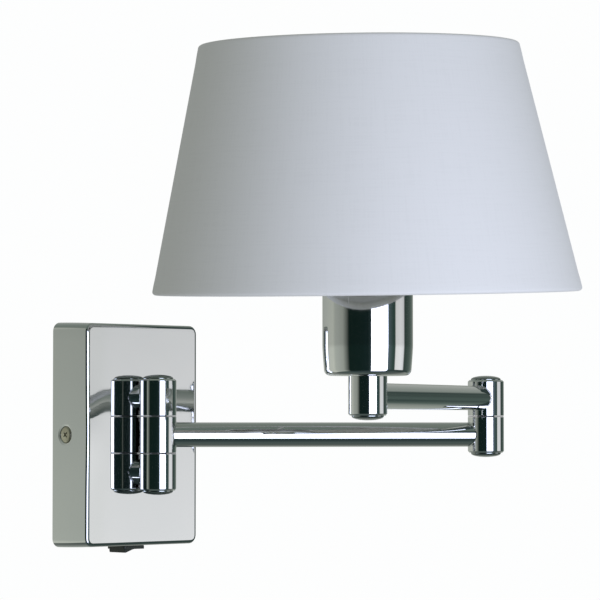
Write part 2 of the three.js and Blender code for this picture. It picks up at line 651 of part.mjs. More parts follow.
function cupProfile() {
  const floor = CUP_FLOOR;
  const outside = [[THREAD_RADIUS + 0.4, floor]];
  const cornerSteps = 2;
  for (let step = 0; step <= cornerSteps; step += 1) {
    const angle = -Math.PI / 2 + step / cornerSteps * Math.PI / 2 * 0.92;
    const x = CUP_FOOT_RADIUS - CUP_CORNER + CUP_CORNER * Math.cos(angle);
    outside.push([x, floor + CUP_CORNER + CUP_CORNER * Math.sin(angle)]);
  }
  const middle = (CUP_FOOT_RADIUS + 2 * CUP_RADIUS) / 3;
  outside.push([middle, floor + 0.58 * CUP_TAPER_HEIGHT]);
  outside.push([CUP_RADIUS, floor + CUP_TAPER_HEIGHT], [CUP_RADIUS, floor + CUP_HEIGHT]);
  const inside = [
    [CUP_RADIUS - CUP_WALL, floor + CUP_HEIGHT],
    [CUP_RADIUS - CUP_WALL, floor + CUP_TAPER_HEIGHT],
    [CUP_FOOT_RADIUS - CUP_WALL - 0.2, floor + CUP_CORNER],
    [CUP_FOOT_RADIUS - CUP_CORNER - 0.5, floor + CUP_WALL],
    [THREAD_RADIUS + 0.4, floor + CUP_WALL],
  ];
  return [...outside, ...inside, outside[0]];
}

function buildLampholder(lamp) {
  addPart(lamp, 'lampholder_cup', turned(cupProfile(), 32), CHROME);
  addPart(lamp, 'lamp_nipple', pipe(THREAD_RADIUS - 0.15, 3.4, NIPPLE_LOW, NIPPLE_TOP), STEEL);
  const bore = THREAD_RADIUS + 0.2;
  const nutLow = CUP_FLOOR + CUP_WALL + GAP;
  const nutTop = nutLow + NUT_HEIGHT - 0.2;
  addPart(lamp, 'lampholder_nut', hexNut(NUT_ACROSS_FLATS, bore, nutLow, nutTop), STEEL);
  const holderLow = nutTop + GAP;
  const boreTop = NIPPLE_TOP + 1;
  const holder = turned([
    [bore, holderLow], [HOLDER_RADIUS, holderLow], [HOLDER_RADIUS, HOLDER_TOP],
    [HOLDER_CAVITY_RADIUS, HOLDER_TOP], [HOLDER_CAVITY_RADIUS, HOLDER_FLOOR], [3, HOLDER_FLOOR],
    [3, boreTop], [bore, boreTop], [bore, holderLow],
  ]);
  addPart(lamp, 'lampholder_body', holder, BLACK_PLASTIC);
  const shell = pipe(HOLDER_CAVITY_RADIUS - GAP, BULB_CAP_RADIUS + GAP, SHELL_LOW, SHELL_TOP);
  addPart(lamp, 'lampholder_shell', shell, BRASS);
  const contact = rod(4.5, HOLDER_FLOOR + GAP, HOLDER_FLOOR + 2.5, SMALL_ROUND);
  addPart(lamp, 'lampholder_contact', contact, BRASS);
  const toRing = SPIDER_RING_THICKNESS / 2 + 0.05 + GAP;
  addPart(lamp, 'shade_ring_nut_lower', ringNut(SPIDER_Z - toRing - RING_NUT_HEIGHT), BLACK_PLASTIC);
  addPart(lamp, 'shade_ring_nut_upper', ringNut(SPIDER_Z + toRing), BLACK_PLASTIC);
}

// A chamfered ring that screws onto the lampholder, with its lower face at the given height.
function ringNut(low) {
  const [inner, chamfer, high] = [HOLDER_RADIUS + GAP, 0.7, low + RING_NUT_HEIGHT];
  return turned([
    [inner, low], [RING_NUT_RADIUS - chamfer, low], [RING_NUT_RADIUS, low + chamfer],
    [RING_NUT_RADIUS, high - chamfer], [RING_NUT_RADIUS - chamfer, high], [inner, high], [inner, low],
  ]);
}

function buildBulb(lamp) {
  const tip = BULB_CAP_LOW - 0.8;
  addPart(lamp, 'bulb_cap', turned([
    [0, tip], [4, tip], [6, BULB_CAP_LOW + 1], [BULB_CAP_RADIUS - 1, BULB_CAP_LOW + 5],
    [BULB_CAP_RADIUS, BULB_CAP_LOW + 6.5], [BULB_CAP_RADIUS, BULB_CAP_TOP], [0, BULB_CAP_TOP],
  ]), BRASS);
  const neck = BULB_NECK_RADIUS;
  const neckLow = BULB_CAP_TOP + GAP;
  const neckTop = neckLow + BULB_NECK_HEIGHT;
  const profile = [[neck, neckLow], [neck, neckTop]];
  const steps = 6;
  for (let step = 0; step <= steps; step += 1) {
    const angle = -Math.PI / 3 + step / steps * (Math.PI / 2 + Math.PI / 3);
    profile.push([BULB_RADIUS * Math.cos(angle), BULB_CENTRE + BULB_RADIUS * Math.sin(angle)]);
  }
  profile[profile.length - 1][0] = 0;
  const shrink = (BULB_RADIUS - GLASS_WALL) / BULB_RADIUS;
  const inside = profile.slice(2).reverse().map(([radius, height]) => (
    [radius * shrink, BULB_CENTRE + (height - BULB_CENTRE) * shrink]
  ));
  inside.push([neck - GLASS_WALL, neckTop], [neck - GLASS_WALL, neckLow]);
  addPart(lamp, 'bulb_glass', turned([...profile, ...inside, profile[0]], 18), GLASS);
}

// ---------------------------------------------------------------- shade

// The shade leans on its spider, so its skin and rings share one tilted group.
function leaningGroup(lamp) {
  const pivot = placed(lamp, 0, 0, SPIDER_Z);
  pivot.rotation.set(
    THREE.MathUtils.degToRad(-SHADE_LEAN_Y), THREE.MathUtils.degToRad(SHADE_LEAN_X), 0,
  );
  return placed(pivot, 0, 0, -SPIDER_RING_RISE);
}

// Moves each height of the shade sideways a little further than the one below it.
function outOfTrue() {
  const heading = THREE.MathUtils.degToRad(SHADE_SHIFT_HEADING);
  const perHeight = (SHADE_TOP_SHIFT - SHADE_BASE_SHIFT) / SHADE_HEIGHT;
  const [x, y] = [Math.cos(heading), Math.sin(heading)];
  return new THREE.Matrix4().set(
    1, 0, x * perHeight, x * SHADE_BASE_SHIFT,
    0, 1, y * perHeight, y * SHADE_BASE_SHIFT,
    0, 0, 1, 0,
    0, 0, 0, 1,
  );
}

function shadeInside(height) {
  return SHADE_BASE_RADIUS - SHADE_SLOPE * height - SHADE_SKIN;
}

function wireRing(height, clearAt) {
  const radius = shadeInside(clearAt) - GAP - RING_WIRE_RADIUS;
  const ring = new THREE.TorusGeometry(radius, RING_WIRE_RADIUS, 5, 36).translate(0, 0, height);
  return ring.applyMatrix4(outOfTrue());
}

function buildShade(lamp) {
  const shade = leaningGroup(lamp);
  const skin = turned([
    [SHADE_BASE_RADIUS - SHADE_SKIN, 0], [SHADE_BASE_RADIUS, 0], [SHADE_TOP_RADIUS, SHADE_HEIGHT],
    [SHADE_TOP_RADIUS - SHADE_SKIN, SHADE_HEIGHT], [SHADE_BASE_RADIUS - SHADE_SKIN, 0],
  ], 48);
  addPart(shade, 'shade', skin.applyMatrix4(outOfTrue()), SHADE_FABRIC);
  const upperRing = SHADE_HEIGHT - LOWER_RING_HEIGHT;
  addPart(shade, 'shade_top_ring', wireRing(upperRing, SHADE_HEIGHT), SHADE_WIRE);
  addPart(shade, 'shade_bottom_ring', wireRing(LOWER_RING_HEIGHT, 2 * LOWER_RING_HEIGHT), SHADE_WIRE);
}

// A level ring on the lampholder with three spokes that reach down to the leaning lower ring.
function buildSpider(lamp) {
  lamp.updateWorldMatrix(true, true);
  const shade = leaningGroup(lamp);
  shade.updateWorldMatrix(true, false);
  const toLamp = new THREE.Matrix4().copy(lamp.matrixWorld).invert().multiply(shade.matrixWorld);
  const reach = shadeInside(2 * LOWER_RING_HEIGHT) - 2 * (GAP + RING_WIRE_RADIUS) - SPOKE_RADIUS;
  const half = SPIDER_RING_THICKNESS / 2;
  let spider = solid(pipe(SPIDER_RING_RADIUS + 1, HOLDER_RADIUS + GAP, SPIDER_Z - half, SPIDER_Z + half));
  for (const heading of SPOKE_HEADINGS) {
    const angle = THREE.MathUtils.degToRad(heading);
    const [cos, sin] = [Math.cos(angle), Math.sin(angle)];
    const start = new THREE.Vector3(SPIDER_RING_RADIUS * cos, SPIDER_RING_RADIUS * sin, SPIDER_Z);
    const end = new THREE.Vector3(reach * cos, reach * sin, LOWER_RING_HEIGHT);
    end.applyMatrix4(outOfTrue()).applyMatrix4(toLamp);
    const along = end.clone().sub(start);
    const spoke = rod(SPOKE_RADIUS, 0, along.length(), 8);
    const turn = new THREE.Quaternion().setFromUnitVectors(new THREE.Vector3(0, 0, 1), along.normalize());
    spoke.applyQuaternion(turn).translate(start.x, start.y, start.z);
    spider = join(spider, spoke);
  }
  addPart(lamp, 'shade_spider', spider, SHADE_WIRE);
}

// ---------------------------------------------------------------- assembly

const sconce = new THREE.Group();
sconce.name = 'swing_arm_wall_sconce';

buildBracket(sconce);
buildGrommet(sconce);
buildCasing(sconce);
buildSideScrews(sconce);
buildTerminals(sconce);
buildCasingFlex(sconce);
buildSwitch(sconce);
buildRocker(sconce);
buildWallHinge(sconce);
buildLowerArm(sconce);
const lamp = buildUpperArm(sconce);
buildLampholder(lamp);
buildBulb(lamp);
buildShade(lamp);
buildSpider(lamp);

export default sconce;
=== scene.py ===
import json
from math import atan2, cos, hypot, pi, radians, sin, sqrt, tan, tanh

import bmesh
import bpy
from mathutils import Matrix, Vector


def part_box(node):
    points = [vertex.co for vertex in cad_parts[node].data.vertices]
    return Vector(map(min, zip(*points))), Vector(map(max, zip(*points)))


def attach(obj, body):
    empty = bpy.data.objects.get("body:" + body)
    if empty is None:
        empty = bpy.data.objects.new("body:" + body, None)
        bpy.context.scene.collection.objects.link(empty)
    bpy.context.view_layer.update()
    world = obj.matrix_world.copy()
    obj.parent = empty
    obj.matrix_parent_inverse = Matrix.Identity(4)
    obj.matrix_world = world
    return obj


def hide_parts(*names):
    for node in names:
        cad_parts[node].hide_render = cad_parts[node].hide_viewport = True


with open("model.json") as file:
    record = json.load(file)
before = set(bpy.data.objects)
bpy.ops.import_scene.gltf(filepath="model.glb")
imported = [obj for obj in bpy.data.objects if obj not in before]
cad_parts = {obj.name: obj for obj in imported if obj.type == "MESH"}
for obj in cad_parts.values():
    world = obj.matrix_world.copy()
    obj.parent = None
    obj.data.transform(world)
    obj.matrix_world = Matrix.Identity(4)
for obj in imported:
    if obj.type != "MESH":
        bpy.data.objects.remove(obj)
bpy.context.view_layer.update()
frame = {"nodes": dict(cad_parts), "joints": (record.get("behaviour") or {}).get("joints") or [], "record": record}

MM = 0.001

# ---- places taken from the frame


def centre(node):
    low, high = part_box(node)
    return (low + high) / 2


def heights(*nodes):
    """Lowest and highest Z of some CAD nodes together."""
    boxes = [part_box(node) for node in nodes]
    return min(low.z for low, high in boxes), max(high.z for low, high in boxes)


JOINTS = {joint["name"]: joint for joint in frame["joints"]}


def joint_axis(name):
    """Where a vertical joint's axis crosses z = 0."""
    return Vector((*JOINTS[name]["pos_m"][:2], 0))


HINGE_AXIS = joint_axis("wall_hinge")
ELBOW_AXIS = joint_axis("elbow_hinge")
LAMP_AXIS = Vector((*centre("lamp_post").xy, 0))
LOWER_LEVEL = centre("lower_arm_knuckle").z
UPPER_LEVEL = centre("lamp_post").z

CASING_LOW, CASING_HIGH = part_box("wall_casing")
CASING_WIDTH = CASING_HIGH.x - CASING_LOW.x
CASING_HEIGHT = CASING_HIGH.z - CASING_LOW.z
CASING_DEPTH = -CASING_LOW.y

SHADE_FOOT = centre("shade_bottom_ring")

# ---- shared sizes

BARREL_RADIUS = 10.4 * MM
BARREL_BORE = 5 * MM
TUBE_RADIUS = 7 * MM
TUBE_END = 7.5 * MM  # how near to a barrel's axis a tube reaches, inside the barrel's wall
CAP_RADIUS = 8.65 * MM
CAP_SEAT_RADIUS = 8.95 * MM
CAP_SEAT_DEPTH = 2 * MM
CAP_PROUD = 2.5 * MM
ROUND = 96

# ---- material helpers


def new_material(name, **sockets):
    """A Principled material with constant values on the shader's own sockets."""
    material = bpy.data.materials.new(name)
    material.use_nodes = True
    shader = material.node_tree.nodes["Principled BSDF"]
    for socket, value in sockets.items():
        shader.inputs[socket.replace("_", " ")].default_value = value
    return material, material.node_tree, shader


def add_node(tree, kind, values=(), **settings):
    """A node with its settings made, and each socket set to a value or linked to another's output."""
    node = tree.nodes.new(kind)
    for setting, value in settings.items():
        setattr(node, setting, value)
    for socket, value in dict(values).items():
        if isinstance(value, bpy.types.NodeSocket):
            tree.links.new(value, node.inputs[socket])
        else:
            node.inputs[socket].default_value = value
    return node


def maths(tree, operation, *values):
    return add_node(tree, "ShaderNodeMath", enumerate(values), operation=operation).outputs["Value"]


def noise(tree, coordinates, scale, detail, stretch):
    mapping = add_node(tree, "ShaderNodeMapping", {"Vector": coordinates, "Scale": stretch})
    values = {"Vector": mapping.outputs["Vector"], "Scale": scale, "Detail": detail}
    return add_node(tree, "ShaderNodeTexNoise", values).outputs["Fac"]


def object_noise(tree, scale, detail=3.0, stretch=(1, 1, 1)):
    """Noise in the piece's own metres. Its output is a factor from 0 to 1."""
    coordinates = add_node(tree, "ShaderNodeTexCoord").outputs["Object"]
    return noise(tree, coordinates, scale, detail, stretch)


def ranged(tree, source, start, end, low, high, **settings):
    """Maps a factor between start and end to a value between low and high."""
    values = {"Value": source, "From Min": start, "From Max": end, "To Min": low, "To Max": high}
    return add_node(tree, "ShaderNodeMapRange", values, **settings).outputs["Result"]


def ramped(tree, source, stops):
    """Colours a factor by a ramp of (position, colour) stops."""
    ramp = add_node(tree, "ShaderNodeValToRGB", {"Fac": source})
    elements = ramp.color_ramp.elements
    while len(elements) < len(stops):
        elements.new(0.5)
    for element, (position, colour) in zip(elements, stops):
        element.position = position
        element.color = colour
    return ramp.outputs["Color"]


def bumped(tree, shader, height, distance, strength=1.0, below=None):
    """Adds a bump of that height in metres to a shader, on top of another bump if one is given."""
    bump = add_node(tree, "ShaderNodeBump", {"Distance": distance, "Strength": strength, "Height": height})
    if below is not None:
        tree.links.new(below, bump.inputs["Normal"])
    tree.links.new(bump.outputs["Normal"], shader.inputs["Normal"])
    return bump.outputs["Normal"]


def tinted(tree, shader, source, first, second, start=0.3, end=0.7):
    """Varies a shader's colour between two by a factor."""
    tint = ramped(tree, source, [(start, (*first, 1)), (end, (*second, 1))])
    tree.links.new(tint, shader.inputs["Base Color"])


def glossed(tree, shader, source, low, high):
    """Varies a shader's roughness between low and high by a factor."""
    tree.links.new(ranged(tree, source, 0.3, 0.7, low, high), shader.inputs["Roughness"])


# ---- materials


def make_surface(name, tint, gloss=None, relief=None, **sockets):
    """A material whose colour, gloss and fine relief each follow a noise of their own.

    tint is (noise scale, detail, colour, other colour), gloss is (noise scale, detail, least and most
    roughness) and relief is (noise scale, detail, height in metres, strength).
    """
    material, tree, shader = new_material(name, **sockets)
    tinted(tree, shader, object_noise(tree, *tint[:2]), *tint[2:])
    if gloss:
        glossed(tree, shader, object_noise(tree, *gloss[:2]), *gloss[2:])
    if relief:
        bumped(tree, shader, object_noise(tree, *relief[:2]), *relief[2:])
    return material


def make_steel():
    """Zinc-plated sheet steel with rolling marks along Z."""
    material, tree, shader = new_material("galvanised_steel", Metallic=1.0)
    coordinates = add_node(tree, "ShaderNodeTexCoord").outputs["Object"]
    spangle = add_node(tree, "ShaderNodeTexVoronoi", {"Scale": 130.0, "Vector": coordinates})
    tinted(tree, shader, spangle.outputs["Distance"], (0.5, 0.51, 0.52), (0.62, 0.62, 0.61), 0.1, 0.8)
    grain = object_noise(tree, 300, 4, (6, 6, 0.4))
    glossed(tree, shader, grain, 0.28, 0.46)
    bumped(tree, shader, grain, 0.00004, 0.4)
    return material


def make_plastic(name, dark, light, gloss, grain_size=1400):
    """A moulded plastic with fine spark-eroded grain."""
    material, tree, shader = new_material(name, IOR=1.5)
    tinted(tree, shader, object_noise(tree, 90, 4), dark, light)
    grain = object_noise(tree, grain_size, 4)
    glossed(tree, shader, grain, gloss - 0.06, gloss + 0.08)
    bumped(tree, shader, grain, 0.00008, 0.5)
    return material


THREAD_PITCH = 0.45 * MM


def woven_height(tree, coordinates, pitch):
    """Height of a plain weave: warp and weft waves that rise over each other in turn."""
    separate = add_node(tree, "ShaderNodeSeparateXYZ", {"Vector": coordinates})
    wave = pi / pitch
    warp = maths(tree, "SINE", maths(tree, "MULTIPLY", separate.outputs["X"], wave))
    weft = maths(tree, "SINE", maths(tree, "MULTIPLY", separate.outputs["Y"], wave))
    over = maths(tree, "MULTIPLY", warp, weft)
    threads = maths(tree, "MAXIMUM", maths(tree, "ABSOLUTE", warp), maths(tree, "ABSOLUTE", weft))
    return maths(tree, "ADD", maths(tree, "MULTIPLY", threads, 0.6), maths(tree, "MULTIPLY", over, 0.4))


def make_shade_cloth():
    """Off-white cotton: a plain weave, slubs along both threads and a soft sheen."""
    material, tree, shader = new_material(
        "shade_cotton", Roughness=0.92, Sheen_Weight=0.25, Sheen_Roughness=0.6, Specular_IOR_Level=0.2
    )
    cloth = add_node(tree, "ShaderNodeUVMap", uv_map="weave").outputs["UV"]
    slubs = [noise(tree, cloth, 1.0, 2.0, stretch) for stretch in ((40, 900, 1), (900, 40, 1))]
    both = maths(tree, "ADD", *slubs)
    tinted(tree, shader, both, (0.782, 0.786, 0.792), (0.798, 0.802, 0.808), 0.8, 1.2)
    weave = woven_height(tree, cloth, THREAD_PITCH)
    below = bumped(tree, shader, weave, 0.00002, 0.5)
    bumped(tree, shader, both, 0.00002, 0.3, below)
    return material


# Mirror plate: faint polishing haze in the gloss and a very slight ripple.
CHROME = make_surface(
    "polished_chrome", (18, 4, (0.735, 0.745, 0.755), (0.765, 0.77, 0.775)), (55, 6, 0.018, 0.05),
    (70, 1, 0.00002, 0.35), Metallic=0.994,
)
# The caps' chrome: darker than on the barrels, which is painted shade for the dim reflections on the domes, and
# with more haze.
SHADED_CAP_CHROME = make_surface(
    "cap_chrome_painted_shade", (30, 4, (0.3, 0.33, 0.33), (0.36, 0.385, 0.385)), (90, 6, 0.14, 0.22),
    (160, 3, 0.00002, 0.4), Metallic=1.0,
)
# Yellow-passivated zinc on a pressed screw.
ZINC = make_surface(
    "yellow_zinc", (260, 4, (0.44, 0.41, 0.31), (0.66, 0.63, 0.52)), (900, 3, 0.24, 0.42),
    (1500, 3, 0.00006, 0.5), Metallic=1.0,
)
BRASS = make_surface(
    "plain_brass", (220, 4, (0.6, 0.42, 0.16), (0.78, 0.6, 0.28)), (700, 3, 0.2, 0.38), Metallic=1.0
)
# White enamel on the shade's wires.
ENAMEL = make_surface(
    "white_enamel", (120, 4, (0.74, 0.74, 0.72), (0.82, 0.82, 0.8)), (400, 3, 0.25, 0.42),
    (500, 2, 0.00008, 0.4), Coat_Weight=0.3,
)
# Opal glass: milky, with a smooth shine.
OPAL = make_surface(
    "opal_glass", (60, 3, (0.82, 0.82, 0.79), (0.88, 0.88, 0.86)), IOR=1.5, Roughness=0.12,
    Subsurface_Weight=0.4, Subsurface_Radius=(0.004, 0.004, 0.003),
)
# The shade's inner white laminate.
LINER = make_surface(
    "white_laminate", (30, 4, (0.8, 0.8, 0.78), (0.84, 0.84, 0.82)), relief=(900, 3, 0.00005, 0.4),
    Roughness=0.55,
)
STEEL = make_steel()
BLACK_PLASTIC = make_plastic("black_moulding", (0.006, 0.014, 0.011), (0.013, 0.022, 0.018), 0.3)
WHITE_PLASTIC = make_plastic("white_moulding", (0.72, 0.71, 0.67), (0.8, 0.79, 0.75), 0.45)
NYLON = make_plastic("dark_nylon", (0.05, 0.055, 0.06), (0.08, 0.085, 0.09), 0.55)
RUBBER = make_plastic("black_rubber", (0.016, 0.016, 0.016), (0.03, 0.03, 0.03), 0.75, 800)
FLEX = make_plastic("pale_flex_sheath", (0.66, 0.66, 0.63), (0.74, 0.74, 0.71), 0.5, 900)
SHADE_CLOTH = make_shade_cloth()

# ---- mesh helpers

SHARP_ANGLE = radians(34)


def smooth_step(value, start, end):
    share = min(1.0, max(0.0, (value - start) / (end - start)))
    return share * share * (3 - 2 * share)


def rounded(path, closed=False, steps=5):
    """Points of a path whose corners (across, up, fillet) are rounded where a fillet is given."""
    points = []
    for place, corner in enumerate(path):
        fillet = corner[2] if len(corner) > 2 else 0
        here = Vector(corner[:2])
        if not fillet or (not closed and place in (0, len(path) - 1)):
            points.append(tuple(here))
            continue
        before = Vector(path[place - 1][:2]) - here
        after = Vector(path[(place + 1) % len(path)][:2]) - here
        shortest = min(before.length, after.length)
        before.normalize()
        after.normalize()
        half = before.angle(after) / 2
        cut = min(fillet / tan(half), 0.49 * shortest)
        middle = here + (before + after).normalized() * cut / cos(half)
        start = here + before * cut - middle
        end = here + after * cut - middle
        turn = atan2(start.x * end.y - start.y * end.x, start.dot(end))
        for step in range(steps + 1):
            points.append(tuple(middle + Matrix.Rotation(turn * step / steps, 2) @ start))
    return points


def circle(radius, height, steps):
    """Points of a level circle about Z, from +X round."""
    turns = [2 * pi * step / steps for step in range(steps)]
    return [Vector((radius * cos(turn), radius * sin(turn), height)) for turn in turns]


def neighbours(rings, closed):
    """Each ring with the next one, and the last with the first where the row is closed."""
    return list(zip(rings, rings[1:] + rings[:1] if closed else rings[1:]))


def lathe_into(bm, points, closed=False, steps=ROUND, place=Matrix.Identity(4)):
    """Turns (radius, height) points about Z into a mesh."""
    rings = []
    for radius, height in points:
        around = circle(radius, height, steps if radius > 1e-7 else 1)
        rings.append([bm.verts.new(place @ point) for point in around])
    for lower, upper in neighbours(rings, closed):
        for step in range(steps):
            following = (step + 1) % steps
            corners = [
                lower[step % len(lower)], lower[following % len(lower)],
                upper[following % len(upper)], upper[step % len(upper)],
            ]
            unique = list(dict.fromkeys(corners))
            if len(unique) > 2:
                bm.faces.new(unique)


def join_rings(bm, rings, closed=False):
    """Joins rings of equal point count in order. An open row gets a flat face at both ends."""
    count = len(rings[0])
    for lower, upper in neighbours(rings, closed):
        for step in range(count):
            following = (step + 1) % count
            bm.faces.new((lower[step], lower[following], upper[following], upper[step]))
    if not closed:
        bm.faces.new(rings[0])
        bm.faces.new(rings[-1])


def sweep_into(bm, points, radius, closed=False, sides=10):
    """Sweeps a round section along points."""
    count = len(points)
    rings = []
    up = Vector((0, 0, 1))
    for place, point in enumerate(points):
        ahead = points[(place + 1) % count] if closed or place < count - 1 else point
        behind = points[place - 1] if closed or place > 0 else point
        along = (ahead - behind).normalized()
        side = along.cross(up)
        if side.length < 1e-3:
            side = along.cross(Vector((1, 0, 0)))
        side.normalize()
        rise = side.cross(along)
        turns = [2 * pi * step / sides for step in range(sides)]
        ring = [point + radius * (side * cos(turn) + rise * sin(turn)) for turn in turns]
        rings.append([bm.verts.new(corner) for corner in ring])
    join_rings(bm, rings, closed)


def loft_into(bm, loops):
    """Joins loops of equal point count in order and closes both ends with a flat face."""
    join_rings(bm, [[bm.verts.new(point) for point in loop] for loop in loops])


def rectangle_outline(width, height, radius, steps=10, side_steps=1):
    """Corner-rounded rectangle as (across, up) points, anticlockwise."""
    corners = []
    for corner, (right, top) in enumerate([(1, 1), (-1, 1), (-1, -1), (1, -1)]):
        arc = []
        for step in range(steps + 1):
            angle = (corner + step / steps) * pi / 2
            across = right * (width / 2 - radius) + radius * cos(angle)
            up = top * (height / 2 - radius) + radius * sin(angle)
            arc.append(Vector((across, up)))
        corners.append(arc)
    points = []
    for arc, following in zip(corners, corners[1:] + corners[:1]):
        points += arc
        points += [arc[-1].lerp(following[0], step / side_steps) for step in range(1, side_steps)]
    return [tuple(point) for point in points]


def bm_to_object(name, bm):
    bmesh.ops.recalc_face_normals(bm, faces=bm.faces)
    mesh = bpy.data.meshes.new(name)
    bm.to_mesh(mesh)
    bm.free()
    piece = bpy.data.objects.new(name, mesh)
    bpy.context.scene.collection.objects.link(piece)
    return piece


def apply_modifiers(piece):
    """Fixes a piece's modifiers into its mesh."""
    bpy.context.view_layer.update()
    graph = bpy.context.evaluated_depsgraph_get()
    mesh = bpy.data.meshes.new_from_object(piece.evaluated_get(graph))
    piece.modifiers.clear()
    piece.data = mesh


def carve(piece, bm_cutter):
    """Cuts a closed shape out of a piece."""
    cutter = bm_to_object("cutter", bm_cutter)
    cutting = piece.modifiers.new("cut", "BOOLEAN")
    cutting.operation = "DIFFERENCE"
    cutting.solver = "EXACT"
    cutting.object = cutter
    apply_modifiers(piece)
    bpy.data.objects.remove(cutter)


# The record's slot of each material. Where two share one, a carried-over CAD node wears the later.
SLOTS = {
    SHADED_CAP_CHROME: "chrome", CHROME: "chrome", ZINC: "zinc_steel", STEEL: "zinc_steel", NYLON: "nylon",
    BLACK_PLASTIC: "black_plastic", WHITE_PLASTIC: "white_plastic", FLEX: "flex_sheath", BRASS: "brass",
    RUBBER: "rubber", OPAL: "opal_glass", ENAMEL: "shade_wire", LINER: "shade_fabric",
    SHADE_CLOTH: "shade_fabric",
}


def finish_piece(piece, material, body, *nodes, sharp=SHARP_ANGLE):
    """Shades a piece smooth between its hard edges, gives it its material and body, and hides the CAD nodes it
    stands in for.
    """
    mesh = piece.data
    bm = bmesh.new()
    bm.from_mesh(mesh)
    for face in bm.faces:
        face.smooth = True
    for edge in bm.edges:
        edge.smooth = edge.is_manifold and edge.calc_face_angle(0) < sharp
    bm.to_mesh(mesh)
    bm.free()
    mesh.materials.clear()
    mesh.materials.append(material)
    weighting = piece.modifiers.new("flat_faces_stay_flat", "WEIGHTED_NORMAL")
    weighting.keep_sharp = True
    weighting.weight = 60
    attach(piece, body)
    if nodes:
        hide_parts(*nodes)
    return piece


def turned_piece(name, path, material, body, node, at, closed=False):
    bm = bmesh.new()
    lathe_into(bm, rounded(path, closed), closed, place=Matrix.Translation(at))
    finish_piece(bm_to_object(name, bm), material, body, node)


# ---- hinges and arms

CHAMFER = 0.9 * MM
SEAM_CHAMFER = 0.1 * MM


def knuckle_path(low, high, capped_below, capped_above):
    """Closed profile of a knuckle. A capped end has a counterbore and a wider chamfer."""

    def end(capped, face, way):
        """From the bore out to the barrel's side. Way points from the face into the barrel."""
        chamfer, soft = (CHAMFER, 0.45 * MM) if capped else (SEAM_CHAMFER, 0.06 * MM)
        return [
            (CAP_SEAT_RADIUS if capped else BARREL_BORE, face, 0.1 * MM),
            (BARREL_RADIUS - chamfer, face, 0.04 * MM), (BARREL_RADIUS, face + way * chamfer, soft),
        ]

    path = end(capped_below, low, 1) + end(capped_above, high, -1)[::-1]
    if capped_above:
        path += [(CAP_SEAT_RADIUS, high - CAP_SEAT_DEPTH), (BARREL_BORE, high - CAP_SEAT_DEPTH)]
    if capped_below:
        path += [(BARREL_BORE, low + CAP_SEAT_DEPTH), (CAP_SEAT_RADIUS, low + CAP_SEAT_DEPTH)]
    return path


def saddle_points(axis, along, level, steps=72):
    """Points round a tube where it meets the barrel that stands on an axis."""
    sideways = Vector((-along.y, along.x, 0))
    points = []
    for side, rise, _ in circle(TUBE_RADIUS, 0, steps):
        reach = sqrt(BARREL_RADIUS ** 2 - side ** 2)
        points.append(axis + along * reach + sideways * side + Vector((0, 0, level + rise)))
    return points


def tube_between_into(bm, start, end, level, ends):
    """A level tube between two points, with a fine solder fillet round each barrel in ends."""
    along = (end - start).normalized()
    turn = along.to_track_quat("Z", "Y").to_matrix().to_4x4()
    place = Matrix.Translation(start + Vector((0, 0, level))) @ turn
    length = (end - start).length
    path = [(0, 0), (TUBE_RADIUS, 0), (TUBE_RADIUS, length), (0, length)]
    lathe_into(bm, path, steps=ROUND, place=place)
    for axis in ends:
        towards = along if (axis - start).length < (axis - end).length else -along
        sweep_into(bm, saddle_points(axis, towards, level), 0.32 * MM, closed=True, sides=8)


def build_knuckle(name, axis, node, body, capped_below=False, capped_above=False, stub=False):
    low, high = heights(node)
    bm = bmesh.new()
    path = rounded(knuckle_path(low, high, capped_below, capped_above), closed=True)
    lathe_into(bm, path, closed=True, place=Matrix.Translation(axis))
    if stub:
        wall_side = Vector((axis.x, -CASING_DEPTH, 0))
        knuckle_side = axis + Vector((0, TUBE_END, 0))
        tube_between_into(bm, wall_side, knuckle_side, (low + high) / 2, [axis])
    finish_piece(bm_to_object(name, bm), CHROME, body, node)


def build_cap(name, axis, node, barrel, body, above=True):
    """A domed cap in its seat, in the upper or lower end of a barrel."""
    face = heights(barrel)[above]
    way = 1 if above else -1
    shoulder = 0.55 * MM
    path = [
        (0, -CAP_SEAT_DEPTH + 0.3 * MM), (CAP_RADIUS, -CAP_SEAT_DEPTH + 0.3 * MM),
        (CAP_RADIUS, shoulder, 0.5 * MM),
    ]
    dome_steps = 14
    for step in range(1, dome_steps + 1):
        turn = step / dome_steps * pi / 2
        radius = (CAP_RADIUS - 0.15 * MM) * cos(turn) if step < dome_steps else 0
        path.append((radius, shoulder + (CAP_PROUD - shoulder) * sin(turn)))
    points = [(radius, face + way * height) for radius, height in rounded(path)]
    bm = bmesh.new()
    lathe_into(bm, points, place=Matrix.Translation(axis))
    # The cap wears the darker chrome, whose colour is painted shade.
    finish_piece(bm_to_object(name, bm), SHADED_CAP_CHROME, body, node)


def build_washer(name, axis, node, body):
    low, high = heights(node)
    edge = 0.05 * MM
    rim = BARREL_RADIUS - 0.16 * MM
    bore = BARREL_BORE + 0.2 * MM
    path = [(bore, low), (rim, low, edge), (rim, high, edge), (bore, high)]
    turned_piece(name, path, NYLON, body, node, axis, closed=True)


def build_tube(name, start_axis, end_axis, level, node, body):
    along = (end_axis - start_axis).normalized()
    bm = bmesh.new()
    tube_between_into(
        bm, start_axis + along * TUBE_END, end_axis - along * TUBE_END, level, [start_axis, end_axis]
    )
    finish_piece(bm_to_object(name, bm), CHROME, body, node)


